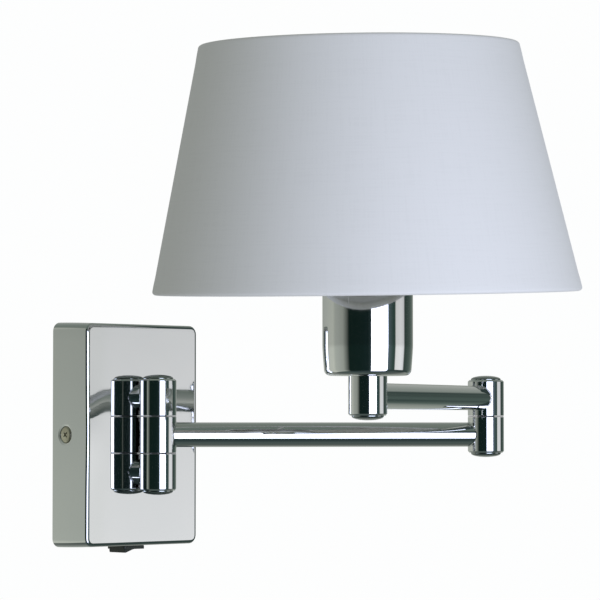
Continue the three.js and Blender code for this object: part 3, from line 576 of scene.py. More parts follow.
def build_wall_hinge():
    axis, body = HINGE_AXIS, "wall_body"
    build_knuckle("upper_wall_knuckle", axis, "wall_knuckle_upper", body, capped_above=True, stub=True)
    build_knuckle("lower_wall_knuckle", axis, "wall_knuckle_lower", body, capped_below=True, stub=True)
    build_cap("upper_wall_cap", axis, "wall_hinge_cap_top", "wall_knuckle_upper", body)
    build_cap("lower_wall_cap", axis, "wall_hinge_cap_bottom", "wall_knuckle_lower", body, above=False)
    build_washer("upper_wall_washer", axis, "wall_hinge_washer_upper", body)
    build_washer("lower_wall_washer", axis, "wall_hinge_washer_lower", body)


def build_lower_arm():
    axis, body = ELBOW_AXIS, "lower_arm"
    build_knuckle("arm_wall_knuckle", HINGE_AXIS, "lower_arm_knuckle", body)
    build_tube("lower_tube", HINGE_AXIS, axis, LOWER_LEVEL, "lower_arm_tube", body)
    build_knuckle("lower_elbow_knuckle", axis, "elbow_knuckle_lower", body, capped_below=True)
    build_cap("lower_elbow_cap", axis, "elbow_cap_bottom", "elbow_knuckle_lower", body, above=False)
    build_washer("elbow_seam_washer", axis, "elbow_washer", body)


def build_upper_arm():
    body = "upper_arm"
    build_knuckle("upper_elbow_knuckle", ELBOW_AXIS, "elbow_knuckle_upper", body, capped_above=True)
    build_cap("upper_elbow_cap", ELBOW_AXIS, "elbow_cap_top", "elbow_knuckle_upper", body)
    build_tube("upper_tube", ELBOW_AXIS, LAMP_AXIS, UPPER_LEVEL, "upper_arm_tube", body)
    build_knuckle("lamp_post_knuckle", LAMP_AXIS, "lamp_post", body, capped_below=True)
    build_cap("lamp_post_dome", LAMP_AXIS, "lamp_post_cap", "lamp_post", body, above=False)


# ---- wall casing

CASING_CORNER = 5 * MM
EDGE_TIGHT = 1.45 * MM
EDGE_SLOW = 5 * MM
CASING_WALL = 1.6 * MM
CASING_DRAFT = 0.9 * MM  # how far each side leans in from the wall to the front
SIDE_BULGE = 0.12 * MM
FACE_FALL = 0.6 * MM  # how far the front's sides fall back away from the side screws
DIMPLE_DEPTH = 1 * MM
SCREW_Y = centre("casing_screw_left").y
SWITCH_PLACE = centre("switch_housing")


def drawn_in(out):
    """How far a side has leaned in at a distance from the wall, less its slight bulge."""
    share = min(1, max(0, out / CASING_DEPTH))
    return CASING_DRAFT * share - 4 * SIDE_BULGE * share * (1 - share)


def casing_loop(inset, out, drawn_at=None):
    """The casing's outline at a distance out from the wall, moved inwards by an inset."""
    lost = 2 * (inset + drawn_in(out if drawn_at is None else drawn_at))
    width, height = CASING_WIDTH - lost, CASING_HEIGHT - lost
    corner = max(CASING_CORNER - inset, 0.5 * MM)
    return [Vector((x, -out, z)) for x, z in rectangle_outline(width, height, corner, 8, 20)]


def settle_face(bm):
    """Bends the front like pressed sheet that only the side screws hold: its sides fall back."""
    half_width = CASING_WIDTH / 2
    for vertex in bm.verts:
        out = -vertex.co.y
        share = smooth_step(out, CASING_DEPTH / 2, CASING_DEPTH)
        fall = FACE_FALL * tanh(vertex.co.z / (20 * MM)) ** 2
        across = vertex.co.x / half_width
        vertex.co.y += share * fall * (smooth_step(-across, 0.6, 1.0) + 0.1 * smooth_step(across, 0.6, 1.0))


def side_matrix(side, distance):
    """Places a shape that stands along Z on a side face of the casing, pointing outwards."""
    turn = Vector((side, 0, 0)).to_track_quat("Z", "Y").to_matrix().to_4x4()
    return Matrix.Translation((side * distance, SCREW_Y, 0)) @ turn


def front_edge():
    """The edge in section, as (inset, out): tight where it leaves the side, slow into the front."""
    steps = 24
    line = [(0.0, 0.0)]
    for step in range(steps):
        turn = (step + 0.5) / steps * pi / 2
        radius = EDGE_TIGHT + (EDGE_SLOW - EDGE_TIGHT) * smooth_step(turn, 1.12, 1.38)
        length = radius * pi / 2 / steps
        inset, out = line[-1]
        line.append((inset + length * sin(turn), out + length * cos(turn)))
    height = line[-1][1]
    return [(inset, CASING_DEPTH - height + out) for inset, out in line]


def build_casing():
    shoulder = front_edge()[0][1]
    rim = 0.2 * MM
    inside = CASING_DEPTH - CASING_WALL
    loops = [casing_loop(CASING_WALL, inside), casing_loop(CASING_WALL, rim)]
    loops += [casing_loop(CASING_WALL - rim, 0), casing_loop(rim, 0), casing_loop(0, rim)]
    side_steps = 8
    for step in range(1, side_steps):
        loops.append(casing_loop(0, rim + (shoulder - rim) * step / side_steps))
    for inset, out in front_edge():
        loops.append(casing_loop(inset, out, shoulder))
    for inset in (4, 5, 6.5, 8.5, 11, 14, 18, 23, 29, 35, 38.5):
        loops.append(casing_loop(inset * MM, CASING_DEPTH, shoulder))
    bm = bmesh.new()
    loft_into(bm, loops)
    settle_face(bm)
    casing = bm_to_object("chrome_casing", bm)
    for side in (-1, 1):
        bm = bmesh.new()
        dimple = [
            (0, -DIMPLE_DEPTH), (4.5 * MM, -DIMPLE_DEPTH, 0.2 * MM), (4.85 * MM, -0.3 * MM, 0.5 * MM),
            (6 * MM, 0.02 * MM, 1.5 * MM), (6.6 * MM, 0.25 * MM), (0, 0.25 * MM),
        ]
        lathe_into(bm, rounded(dimple), place=side_matrix(side, SCREW_FACE_X))
        carve(casing, bm)
    bm = bmesh.new()
    cut_out = Matrix.Diagonal((15.2 * MM, 14.7 * MM, 8 * MM, 1))
    bmesh.ops.create_cube(bm, size=1, matrix=Matrix.Translation((0, SWITCH_PLACE.y, PANEL_Z)) @ cut_out)
    carve(casing, bm)
    finish_piece(casing, CHROME, "wall_body", "wall_casing")


SCREW_FACE_X = CASING_WIDTH / 2 - drawn_in(-SCREW_Y)
PANEL_Z = drawn_in(-SWITCH_PLACE.y) - CASING_HEIGHT / 2  # the casing's lower face at the switch
SCREW_HEAD_RADIUS = 4.4 * MM
RECESS_ARM = 2.35 * MM
RECESS_WIDTH = 1.15 * MM


def build_side_screw(side, node):
    """A low-headed screw with a cross recess, seated in the casing's dimple."""
    seat = SCREW_FACE_X - DIMPLE_DEPTH
    path = [
        (0, -5 * MM), (1.7 * MM, -5 * MM), (1.7 * MM, 0), (SCREW_HEAD_RADIUS, 0, 0.15 * MM),
        (SCREW_HEAD_RADIUS, 0.75 * MM, 0.3 * MM), (3.5 * MM, 1.14 * MM, 1.2 * MM), (0, 1.32 * MM),
    ]
    place = side_matrix(side, seat)
    bm = bmesh.new()
    lathe_into(bm, rounded(path), steps=64, place=place)
    screw = bm_to_object(f"side_screw_{'left' if side < 0 else 'right'}", bm)
    for quarter in (0, pi / 2):
        turn = Matrix.Rotation(radians(42) + quarter, 4, "Z")
        bm = bmesh.new()
        bottom = [Vector((x, y, 0.35 * MM)) for x, y in recess_outline(0.4)]
        middle = [Vector((x, y, 1.5 * MM)) for x, y in recess_outline(0.92)]
        top = [Vector((x, y, 2.6 * MM)) for x, y in recess_outline(1.15)]
        loft_into(bm, [[place @ turn @ point for point in loop] for loop in (bottom, middle, top)])
        carve(screw, bm)
    finish_piece(screw, ZINC, "wall_body", node, sharp=radians(25))


def recess_outline(scale):
    """One bar of the cross recess, as a blunt-ended slot."""
    arm, half = RECESS_ARM * scale, RECESS_WIDTH / 2 * (0.55 + 0.45 * scale)
    tip = 0.8 * half
    return [(arm, -tip), (arm, tip), (0, half), (-arm, tip), (-arm, -tip), (0, -half)]


def on_wall(width, height, radius, out):
    """A corner-rounded loop parallel to the wall, at a distance out from it."""
    return [Vector((across, -out, up)) for across, up in rectangle_outline(width, height, radius)]


# Stands a shape that points along Z on the wall, pointing into the room.
INTO_ROOM = Vector((0, -1, 0)).to_track_quat("Z", "Y").to_matrix().to_4x4()


def build_bracket():
    """The wall bracket: a flat plate with fixing holes, a cable entry and two screw ears."""
    low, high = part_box("wall_bracket")
    thickness, edge = 2 * MM, 0.25 * MM
    fixing_height, fixing_radius, entry_radius = 52 * MM, 2.5 * MM, 9 * MM
    width, height = high.x - low.x, high.z - low.z
    loops = [
        on_wall(width - edge, height - edge, 3.2 * MM, 0),
        on_wall(width, height, 3.4 * MM, edge),
        on_wall(width, height, 3.4 * MM, thickness - edge),
        on_wall(width - edge, height - edge, 3.2 * MM, thickness),
    ]
    bm = bmesh.new()
    loft_into(bm, loops)
    plate = bm_to_object("fixing_bracket", bm)
    holes = [(centre("cable_grommet").z, entry_radius)]
    holes += [(fixing_height, fixing_radius), (-fixing_height, fixing_radius)]
    for up, radius in holes:
        bm = bmesh.new()
        path = [(0, -3 * MM), (radius, -3 * MM), (radius, 5 * MM), (0, 5 * MM)]
        lathe_into(bm, path, steps=64, place=Matrix.Translation((0, 0, up)) @ INTO_ROOM)
        carve(plate, bm)
    bm = bmesh.new()
    bm.from_mesh(plate.data)
    ear = Vector((2, 16.4, 18)) * MM
    sunk = 0.4 * MM  # how far an ear reaches into the plate
    for side in (-1, 1):
        place = Matrix.Translation((side * (high.x - ear.x / 2), -thickness - ear.y / 2 + sunk, 0))
        bmesh.ops.create_cube(bm, size=1, matrix=place @ Matrix.Diagonal((*ear, 1)))
    bm.to_mesh(plate.data)
    bm.free()
    finish_piece(plate, STEEL, "wall_body", "wall_bracket")


def build_grommet():
    bore, neck, flange = 6.5 * MM, 8.7 * MM, 11 * MM
    back, seat, front = 0.2 * MM, 2.3 * MM, -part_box("cable_grommet")[0].y
    path = [
        (bore, back, 0.4 * MM), (neck, back, 0.4 * MM), (neck, seat, 0.1 * MM),
        (flange, seat, 0.5 * MM), (flange, front, 0.6 * MM), (bore, front, 0.7 * MM),
    ]
    bm = bmesh.new()
    place = Matrix.Translation((0, 0, centre("cable_grommet").z)) @ INTO_ROOM
    lathe_into(bm, rounded(path, True), True, 64, place)
    finish_piece(bm_to_object("entry_grommet", bm), RUBBER, "wall_body", "cable_grommet")


# ---- rocker switch


def level_loop(width, depth, radius, height):
    y = SWITCH_PLACE.y
    return [Vector((across, y + up, height)) for across, up in rectangle_outline(width, depth, radius, 5)]


def build_switch():
    """The switch body: a raised bezel, a well for the rocker and a closed back."""
    low, high = heights("switch_housing")
    top = PANEL_Z - 0.32 * MM
    well = low + 9.5 * MM
    body = (15 * MM, 14.5 * MM, 0.5 * MM)
    bezel = (15.4 * MM, 14.9 * MM, 0.9 * MM)
    opening = (14.7 * MM, 14.2 * MM, 0.4 * MM)
    edge = 0.15 * MM

    def shrunk(size, by):
        return size[0] - 2 * by, size[1] - 2 * by, max(size[2] - by, 0.1 * MM)

    loops = [
        level_loop(*body, high), level_loop(*body, top), level_loop(*bezel, top - 0.05 * MM),
        level_loop(*bezel, low + edge), level_loop(*shrunk(bezel, edge * 0.3), low + edge * 0.3),
        level_loop(*shrunk(bezel, edge), low), level_loop(*shrunk(opening, -edge * 0.3), low),
        level_loop(*opening, low + edge * 0.4), level_loop(*opening, well),
    ]
    bm = bmesh.new()
    loft_into(bm, loops)
    finish_piece(bm_to_object("switch_bezel", bm), BLACK_PLASTIC, "wall_body", "switch_housing")


ROCKER_LENGTH = 14.3 * MM
ROCKER_WIDTH = 13.8 * MM
ROCKER_FACE_DROP = 1.88 * MM


def build_rocker():
    """The rocker: two thumb faces that meet in a soft valley, tipped to its rest side."""
    pivot = Vector(JOINTS["rocker_tilt"]["pos_m"])
    half = radians(JOINTS["rocker_tilt"]["range_deg"][1]) / 2
    end = ROCKER_LENGTH / 2
    valley = -ROCKER_FACE_DROP / cos(half)
    tip = valley - end * tan(half)
    outline = [
        (-end + 0.3 * MM, 2 * MM, 0.3 * MM), (-end, tip, 0.5 * MM), (0, valley, 12 * MM),
        (end, tip, 0.5 * MM), (end - 0.3 * MM, 2 * MM, 0.3 * MM),
    ]
    side = rounded(outline, closed=True, steps=8)
    shrink = 0.45 * MM
    stations = []
    arc_steps = 6
    for step in range(arc_steps + 1):
        turn = step / arc_steps * pi / 2
        stations.append((-ROCKER_WIDTH / 2 + shrink * (1 - sin(turn)), shrink * (1 - cos(turn))))
    stations += [(-y, by) for y, by in reversed(stations)]
    stations.sort()
    loops = []
    for y, by in stations:
        keep_x, keep_z = 1 - by / end, 1 - by / abs(tip)
        loops.append([Vector((x * keep_x, y, z * keep_z if z < 0 else z)) for x, z in side])
    bm = bmesh.new()
    loft_into(bm, loops)
    place = Matrix.Translation(pivot) @ Matrix.Rotation(-half, 4, "Y")
    bmesh.ops.transform(bm, matrix=place, verts=bm.verts)
    finish_piece(bm_to_object("rocker_paddle", bm), BLACK_PLASTIC, "rocker", "switch_rocker")


# ---- lampholder

CUP_RADIUS = 24.15 * MM
CUP_FOOT = 23.05 * MM
CUP_WALL = 1 * MM


def build_cup():
    """The drawn cup: straight sides, a slight taper to its foot and a rounded floor."""
    low, high = heights("lampholder_cup")
    taper = low + 15.2 * MM
    path = [
        (5.4 * MM, low), (CUP_FOOT, low, 3.2 * MM), (23.75 * MM, low + 8.8 * MM, 30 * MM),
        (CUP_RADIUS, taper, 40 * MM), (CUP_RADIUS, high, 0.35 * MM), (CUP_RADIUS - CUP_WALL, high, 0.35 * MM),
        (CUP_RADIUS - CUP_WALL, taper), (CUP_FOOT - CUP_WALL, low + CUP_WALL, 2.4 * MM),
        (5.4 * MM, low + CUP_WALL),
    ]
    bm = bmesh.new()
    lathe_into(bm, rounded(path, True, 8), True, 144, Matrix.Translation(LAMP_AXIS))
    finish_piece(bm_to_object("chrome_cup", bm), CHROME, "upper_arm", "lampholder_cup")


def build_holder():
    low, high = heights("lampholder_body")
    outer, inner = 19.5 * MM, 14 * MM
    path = [(5.2 * MM, low), (outer, low, 0.8 * MM)]
    thread_start, thread_pitch = heights("shade_ring_nut_lower")[0] - 4 * MM, 2 * MM
    turn_height = thread_start
    while turn_height < high - 2 * thread_pitch:
        path += [(outer, turn_height, 0.2 * MM), (outer - 0.5 * MM, turn_height + thread_pitch / 2, 0.3 * MM)]
        turn_height += thread_pitch
    floor = heights("lampholder_contact")[0] - 0.3 * MM
    path += [
        (outer, turn_height, 0.2 * MM), (outer, high, 0.5 * MM), (inner, high, 0.5 * MM), (inner, floor),
        (5.2 * MM, floor),
    ]
    turned_piece("lampholder_skirt", path, BLACK_PLASTIC, "upper_arm", "lampholder_body", LAMP_AXIS, True)


def build_ring_nut(name, node):
    """A threaded ring with grip ribs round its edge."""
    low, high = heights(node)
    outer, inner = 24.6 * MM, 19.8 * MM
    path = rounded([
        (inner, low, 0.3 * MM), (outer, low, 0.7 * MM), (outer, high, 0.7 * MM), (inner, high, 0.3 * MM),
    ], True)
    bm = bmesh.new()
    steps, ribs = 240, 30
    lathe_into(bm, path, True, steps, Matrix.Identity(4))
    for vertex in bm.verts:
        radius = vertex.co.xy.length
        if radius > outer - 0.25 * MM:
            turn = atan2(vertex.co.y, vertex.co.x)
            wave = max(0.0, cos(turn * ribs)) ** 0.6
            vertex.co.xy *= 1 + 0.35 * MM * wave / radius
    bmesh.ops.translate(bm, vec=LAMP_AXIS, verts=bm.verts)
    finish_piece(bm_to_object(name, bm), BLACK_PLASTIC, "upper_arm", node)


def build_bulb():
    low, high = heights("bulb_glass")
    radius, neck = 22.5 * MM, 12.6 * MM
    middle = high - radius
    path = [(0, low), (neck, low, 0.3 * MM), (neck, low + 5 * MM, 8 * MM)]
    steps = 40
    for step in range(steps + 1):
        turn = -pi / 3.2 + step / steps * (pi / 2 + pi / 3.2)
        across = radius * cos(turn) if step < steps else 0
        path.append((across, middle + radius * sin(turn)))
    turned_piece("globe_bulb", path, OPAL, "upper_arm", "bulb_glass", LAMP_AXIS)


# ---- shade

SHADE_BASE_RADIUS = 115.1 * MM
SHADE_TOP_RADIUS = 85.5 * MM
SHADE_HEIGHT = 132.6 * MM
SHADE_LEAN_X = radians(-2.75)
SHADE_LEAN_Y = radians(-1.8)
SHADE_TOP_SHIFT = 3 * MM  # how far the shade is out of true at its top
RING_HEIGHT = 2.4 * MM  # the wire rings' distance from the shade's ends
WIRE_RADIUS = 1.5 * MM
CLOTH_THICKNESS = 0.55 * MM
HEM_DEPTH = 9 * MM
SEAM_WIDTH = 9 * MM
SEAM_HEADING = radians(45)  # the seam faces the wall

LEAN = Matrix.Rotation(-SHADE_LEAN_Y, 4, "X") @ Matrix.Rotation(SHADE_LEAN_X, 4, "Y")
SIDE_SHIFT = Matrix.Identity(4)
SIDE_SHIFT[0][2] = -sqrt(0.5) * SHADE_TOP_SHIFT / SHADE_HEIGHT
SIDE_SHIFT[1][2] = sqrt(0.5) * SHADE_TOP_SHIFT / SHADE_HEIGHT
SHADE_FORM = LEAN @ SIDE_SHIFT
SHADE_PLACE = Matrix.Translation(SHADE_FOOT - SHADE_FORM @ Vector((0, 0, RING_HEIGHT))) @ SHADE_FORM
SHADE_SLOPE = (SHADE_BASE_RADIUS - SHADE_TOP_RADIUS) / SHADE_HEIGHT


def shade_radius(height):
    return SHADE_BASE_RADIUS - SHADE_SLOPE * height


def cloth_profile():
    """The cloth in section: down the outside, rolled under both wires and turned in."""
    roll = 1.9 * MM
    turned_in = 7 * MM
    steps = 34
    outside = []
    for step in range(steps + 1):
        height = roll + step / steps * (SHADE_HEIGHT - 2 * roll)
        outside.append((shade_radius(height), height))

    def rolled(middle, way):
        """Half a turn inwards round a wire, up over it (1) or down under it (-1)."""
        steps = 8
        turns = [way * pi * step / steps for step in range(1, steps + 1)]
        edge = shade_radius(middle) - roll
        return [(edge + roll * cos(turn), middle + roll * sin(turn)) for turn in turns]

    lip_top = (shade_radius(SHADE_HEIGHT - turned_in) - 2.1 * roll, SHADE_HEIGHT - turned_in)
    lip_base = (shade_radius(turned_in) - 1.9 * roll, turned_in)
    foot, head = rolled(roll, -1), rolled(SHADE_HEIGHT - roll, 1)
    return [lip_base, *reversed(foot), *outside, *head, lip_top]


def offset_inwards(line, distance):
    """The same line moved to its right-hand side by a distance."""
    moved = []
    for place, point in enumerate(line):
        ahead = Vector(line[min(place + 1, len(line) - 1)])
        behind = Vector(line[max(place - 1, 0)])
        along = (ahead - behind).normalized()
        moved.append((point[0] - along.y * distance, point[1] + along.x * distance))
    return moved


def build_shade_cloth():
    line = cloth_profile()
    inner = offset_inwards(line, CLOTH_THICKNESS)
    section = line + list(reversed(inner))
    steps = 240
    bm = bmesh.new()
    weave = bm.loops.layers.uv.new("weave")
    rings = []
    for step in range(steps):
        turn = 2 * pi * step / steps
        gap = (turn - SEAM_HEADING + pi) % (2 * pi) - pi
        ring = []
        for index, (radius, height) in enumerate(section):
            lift = 0.0
            if index < len(line):  # a point of the outside
                past_seam = abs(gap * radius) - SEAM_WIDTH / 2
                from_end = min(height, SHADE_HEIGHT - height) - HEM_DEPTH
                overlap = 1 - smooth_step(past_seam, 0, 0.6 * MM)
                hem = 1 - smooth_step(from_end, -0.5 * MM, 0.5 * MM)
                lift = 0.3 * MM * overlap + 0.14 * MM * hem
            out_of_round = 0.35 * MM * sin(2 * turn + 0.7) + 0.15 * MM * sin(3 * turn + 2.1)
            across = radius + lift + out_of_round
            ring.append(bm.verts.new((across * cos(turn), across * sin(turn), height)))
        rings.append(ring)
    count = len(section)
    for step in range(steps):
        ring, following = rings[step], rings[(step + 1) % steps]
        for index in range(count):
            after = (index + 1) % count
            face = bm.faces.new((ring[index], following[index], following[after], ring[after]))
            for loop in face.loops:
                forward = loop.vert in (following[index], following[after])
                spot = step + (1 if forward else 0)
                level = section[index if loop.vert in (ring[index], following[index]) else after][1]
                loop[weave].uv = (spot / steps * 2 * pi * 0.1, level)
    bmesh.ops.transform(bm, matrix=SHADE_PLACE, verts=bm.verts)
    cloth = bm_to_object("shade_cloth", bm)
    finish_piece(cloth, SHADE_CLOTH, "upper_arm", "shade")


def build_shade_liner():
    """The stiff laminate inside the cloth."""
    outer = CLOTH_THICKNESS + 0.1 * MM
    wall = 0.5 * MM
    low, high = 2 * MM, SHADE_HEIGHT - 2 * MM
    path = [
        (shade_radius(low) - outer - wall, low), (shade_radius(low) - outer, low),
        (shade_radius(high) - outer, high), (shade_radius(high) - outer - wall, high),
    ]
    bm = bmesh.new()
    lathe_into(bm, path, True, 192, SHADE_PLACE)
    finish_piece(bm_to_object("shade_liner", bm), LINER, "upper_arm")


def ring_radius(node):
    """Middle radius of a wire ring, from its widest extent."""
    low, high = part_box(node)
    return (high.y - low.y) / 2 - WIRE_RADIUS


def build_wire_ring(name, node, height):
    points = [SHADE_PLACE @ point for point in circle(ring_radius(node), height, 144)]
    bm = bmesh.new()
    sweep_into(bm, points, WIRE_RADIUS, closed=True, sides=12)
    finish_piece(bm_to_object(name, bm), ENAMEL, "upper_arm", node)


def build_spider():
    """The shade's carrier: a flat ring on the lampholder and three spokes that bend down to the wire."""
    nut_low = heights("shade_ring_nut_upper")[0]
    level = nut_low - 1.1 * MM
    half = 0.75 * MM
    inner, outer = 19.8 * MM, 28 * MM
    path = [
        (inner, level - half), (outer, level - half, 0.4 * MM),
        (outer, level + half, 0.4 * MM), (inner, level + half),
    ]
    bm = bmesh.new()
    lathe_into(bm, rounded(path, True), True, ROUND, Matrix.Translation(LAMP_AXIS))
    foot_radius = ring_radius("shade_bottom_ring") - 1.2 * MM
    for heading in (60, 180, 300):
        turn = radians(heading)
        out = Vector((cos(turn), sin(turn), 0))
        start = LAMP_AXIS + out * (outer - 4 * MM) + Vector((0, 0, level + 0.2 * MM))
        foot = SHADE_PLACE @ (out * foot_radius + Vector((0, 0, RING_HEIGHT)))
        bend = LAMP_AXIS + out * (outer + 5 * MM) + Vector((0, 0, level))
        points = bezier(start, bend, bend.lerp(foot, 0.25), foot, 22)
        sweep_into(bm, points, 1.35 * MM, sides=12)
    finish_piece(bm_to_object("shade_carrier", bm), ENAMEL, "upper_arm", "shade_spider")


def bezier(start, first, second, end, steps):
    points = []
    for step in range(steps + 1):
        t = step / steps
        s = 1 - t
        points.append(start * s ** 3 + first * 3 * s * s * t + second * 3 * s * t * t + end * t ** 3)
    return points


# ---- carried-over CAD pieces


def dress_kept_nodes():
    """Gives each CAD node that still shows the material of its slot."""
    wear = {slot: material for material, slot in SLOTS.items()}
    slots = {row["node"]: row["material_slot"] for row in frame["record"]["subparts"]}
    for name, node in frame["nodes"].items():
        if node.hide_render:
            continue
        node.data.materials.clear()
        node.data.materials.append(wear[slots[name]])


# ---- studio

CAMERA_PLACE = Vector((-1.1452, -1.3004, 0.0055))
CAMERA_HEADING = radians(-45)
CAMERA_PITCH = radians(2.386)
LENS = 180
SENSOR = 36
FLOOR_DROP = 1.0
FLOOR_LIFT = 0.42
FLOOR_RADIUS = 2.2


def build_camera():
    data = bpy.data.cameras.new("camera")
    data.lens = LENS
    data.sensor_width = SENSOR
    data.clip_end = 50
    camera = bpy.data.objects.new("camera", data)
    camera.location = CAMERA_PLACE
    camera.rotation_euler = (pi / 2 + CAMERA_PITCH, 0, CAMERA_HEADING)
    bpy.context.scene.collection.objects.link(camera)
    bpy.context.scene.camera = camera


CHROME_REFLECTANCE = 0.75


def shown(*levels):
    """The light that gives these display levels, 0 to 255, when it is seen in the chrome."""
    linear = []
    for level in levels:
        share = level / 255
        value = share / 12.92 if share <= 0.04045 else ((share + 0.055) / 1.055) ** 2.4
        linear.append(value / CHROME_REFLECTANCE)
    return (*linear, 1)


# The levels in these three tables were set from levels measured on the chrome in the photograph.
# The studio's walls: degrees to the camera's right as seen from the lamp, and the light from there,
# as the red, green and blue that the chrome shows.
STUDIO_WALLS = [
    (-180, 142, 147, 140),
    (-150, 152, 156, 150),
    (-128, 160, 164, 157),
    (-101, 166, 170, 160),
    (-93, 148, 153, 145),
    (-82, 142, 147, 140),
    (-68, 133, 138, 130),
    (-50, 11, 26, 22),
    (-20, 10, 26, 23),
    (0, 13, 28, 27),
    (9, 38, 52, 52),
    (53, 72, 86, 90),
    (68, 40, 60, 54),
    (73, 42, 61, 55),
    (75.5, 198, 200, 198),
    (92, 206, 207, 208),
    (103, 194, 195, 197),
    (107.5, 42, 56, 51),
    (131, 63, 76, 71),
    (140, 78, 90, 84),
    (148, 92, 102, 96),
    (160, 128, 134, 127),
]
# Ceiling and ground: from in front of the lamp (-1), by straight up or down (0), to behind it (1).
STUDIO_CEILING = [
    (-0.85, 80, 92, 87),
    (-0.52, 92, 104, 98),
    (0.0, 106, 114, 106),
    (0.38, 107, 116, 109),
    (0.72, 126, 133, 127),
    (0.9, 150, 154, 149),
]
STUDIO_GROUND = [
    (-0.8, 56, 68, 68),
    (-0.5, 41, 53, 53),
    (-0.12, 68, 80, 77),
    (0.32, 73, 81, 77),
    (0.6, 108, 113, 108),
    (0.8, 132, 138, 131),
    (0.92, 144, 148, 142),
]


def build_world():
    """The studio that the chrome reflects. The camera sees plain white behind the lamp."""
    world = bpy.data.worlds.new("studio")
    bpy.context.scene.world = world
    world.use_nodes = True
    tree = world.node_tree
    tree.nodes.clear()

    def step_up(source, start, end, low=0.0, high=1.0):
        return ranged(tree, source, start, end, low, high, interpolation_type="SMOOTHSTEP")

    def blend_colours(share, first, second):
        return add_node(tree, "ShaderNodeMix", {0: share, 6: first, 7: second}, data_type="RGBA").outputs[2]

    def blend_lights(share, first, second):
        return add_node(tree, "ShaderNodeMixShader", {0: share, 1: first, 2: second}).outputs[0]

    def light(colour):
        return add_node(tree, "ShaderNodeBackground", {"Color": colour}).outputs[0]

    generated = add_node(tree, "ShaderNodeTexCoord").outputs["Generated"]
    split = add_node(tree, "ShaderNodeSeparateXYZ", {"Vector": generated})
    x, y, z = (split.outputs[axis] for axis in "XYZ")
    turns = maths(tree, "DIVIDE", maths(tree, "ARCTAN2", y, x), 2 * pi)
    heading = maths(tree, "FRACT", maths(tree, "ADD", turns, 0.875))
    stops = [((degrees + 180) / 360, shown(*levels)) for degrees, *levels in STUDIO_WALLS]
    stops.append((1.0, stops[0][1]))
    wall_gain = step_up(z, -0.06, 0.06, 1.15, 0.89)
    values = {0: ramped(tree, heading, stops), "Scale": wall_gain}
    walls = add_node(tree, "ShaderNodeVectorMath", values, operation="SCALE").outputs[0]
    behind = maths(tree, "MULTIPLY", maths(tree, "ADD", x, y), sqrt(0.5))
    backness = maths(tree, "ADD", maths(tree, "MULTIPLY", behind, 0.5), 0.5)
    ceiling, ground = (
        ramped(tree, backness, [((place + 1) / 2, shown(*levels)) for place, *levels in table])
        for table in (STUDIO_CEILING, STUDIO_GROUND)
    )
    rear = step_up(behind, 0.35, 0.6)
    # Above and below the windows on the camera's right the wall is dark.
    off_level = step_up(maths(tree, "ABSOLUTE", z), 0.17, 0.22)
    band = maths(tree, "MULTIPLY", off_level, step_up(behind, 0.75, 0.6))
    band = maths(tree, "MULTIPLY", band, step_up(maths(tree, "SUBTRACT", x, y), 0.0, 0.5))
    above = step_up(maths(tree, "ADD", z, maths(tree, "MULTIPLY", rear, 0.22)), 0.46, 0.56)
    below = step_up(maths(tree, "SUBTRACT", maths(tree, "MULTIPLY", rear, 0.2), z), 0.56, 0.65)
    room = blend_colours(band, walls, shown(46, 59, 56))
    room = blend_colours(above, room, ceiling)
    room = blend_colours(below, room, ground)
    path = add_node(tree, "ShaderNodeLightPath")
    lit = blend_lights(path.outputs["Is Diffuse Ray"], light(room), light((0.338, 0.354, 0.337, 1)))
    lit = blend_lights(path.outputs["Is Camera Ray"], lit, light((0.985, 0.99, 0.99, 1)))
    add_node(tree, "ShaderNodeOutputWorld", {"Surface": lit})
    bpy.context.scene.view_settings.view_transform = "Standard"


SOFTBOX_LEFT = Vector((-0.47, -0.83, 0))
SOFTBOX_RIGHT = Vector((0.12, -1.15, 0))
SOFTBOX_BOTTOM = -0.64
SOFTBOX_TOP = 0.23
SOFTBOX_POWER = 6.1
SOFTBOX_COLOUR = (0.77, 0.815, 1.0)


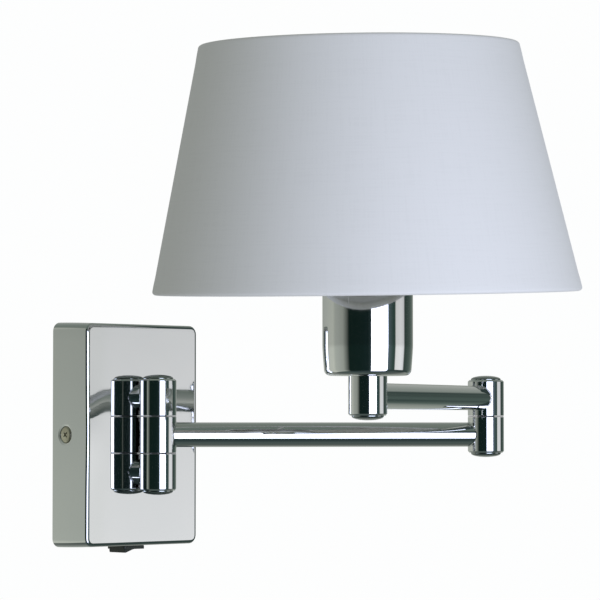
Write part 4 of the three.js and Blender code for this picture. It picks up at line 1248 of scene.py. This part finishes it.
def build_softbox():
    """One large soft light beside the camera."""
    data = bpy.data.lights.new("softbox", "AREA")
    data.shape = "RECTANGLE"
    width = SOFTBOX_RIGHT - SOFTBOX_LEFT
    data.size = width.length
    data.size_y = SOFTBOX_TOP - SOFTBOX_BOTTOM
    data.energy = SOFTBOX_POWER
    data.color = SOFTBOX_COLOUR
    softbox = bpy.data.objects.new("softbox", data)
    middle = (SOFTBOX_LEFT + SOFTBOX_RIGHT) / 2
    softbox.location = (middle.x, middle.y, (SOFTBOX_TOP + SOFTBOX_BOTTOM) / 2)
    towards_lamp = Vector((0, 0, 1)).cross(width)
    softbox.rotation_euler = towards_lamp.to_track_quat("-Z", "Y").to_euler()
    softbox.visible_camera = False
    bpy.context.scene.collection.objects.link(softbox)


def build_floor():
    """A plain pale floor, well below the lamp. It takes light, and gives the lamp none."""
    material = make_surface(
        "pale_floor", (3, 4, (0.8, 0.8, 0.79), (0.83, 0.83, 0.82)), Roughness=0.85,
        Emission_Color=(1, 1, 0.99, 1), Emission_Strength=FLOOR_LIFT,
    )
    bm = bmesh.new()
    bmesh.ops.create_circle(bm, cap_ends=True, segments=128, radius=FLOOR_RADIUS)
    floor = bm_to_object("studio_floor", bm)
    floor.data.materials.append(material)
    floor.location = (0, -0.1, -FLOOR_DROP)
    floor.visible_glossy = False
    floor.visible_diffuse = False


# ---- the whole scene

build_camera()
build_world()
build_softbox()
build_floor()
build_casing()
build_side_screw(-1, "casing_screw_left")
build_side_screw(1, "casing_screw_right")
build_bracket()
build_grommet()
build_switch()
build_rocker()
build_wall_hinge()
build_lower_arm()
build_upper_arm()
build_cup()
build_holder()
build_ring_nut("lower_ring_nut", "shade_ring_nut_lower")
build_ring_nut("upper_ring_nut", "shade_ring_nut_upper")
build_bulb()
build_wire_ring("shade_base_wire", "shade_bottom_ring", RING_HEIGHT)
build_wire_ring("shade_top_wire", "shade_top_ring", SHADE_HEIGHT - RING_HEIGHT)
build_spider()
build_shade_liner()
build_shade_cloth()
dress_kept_nodes()
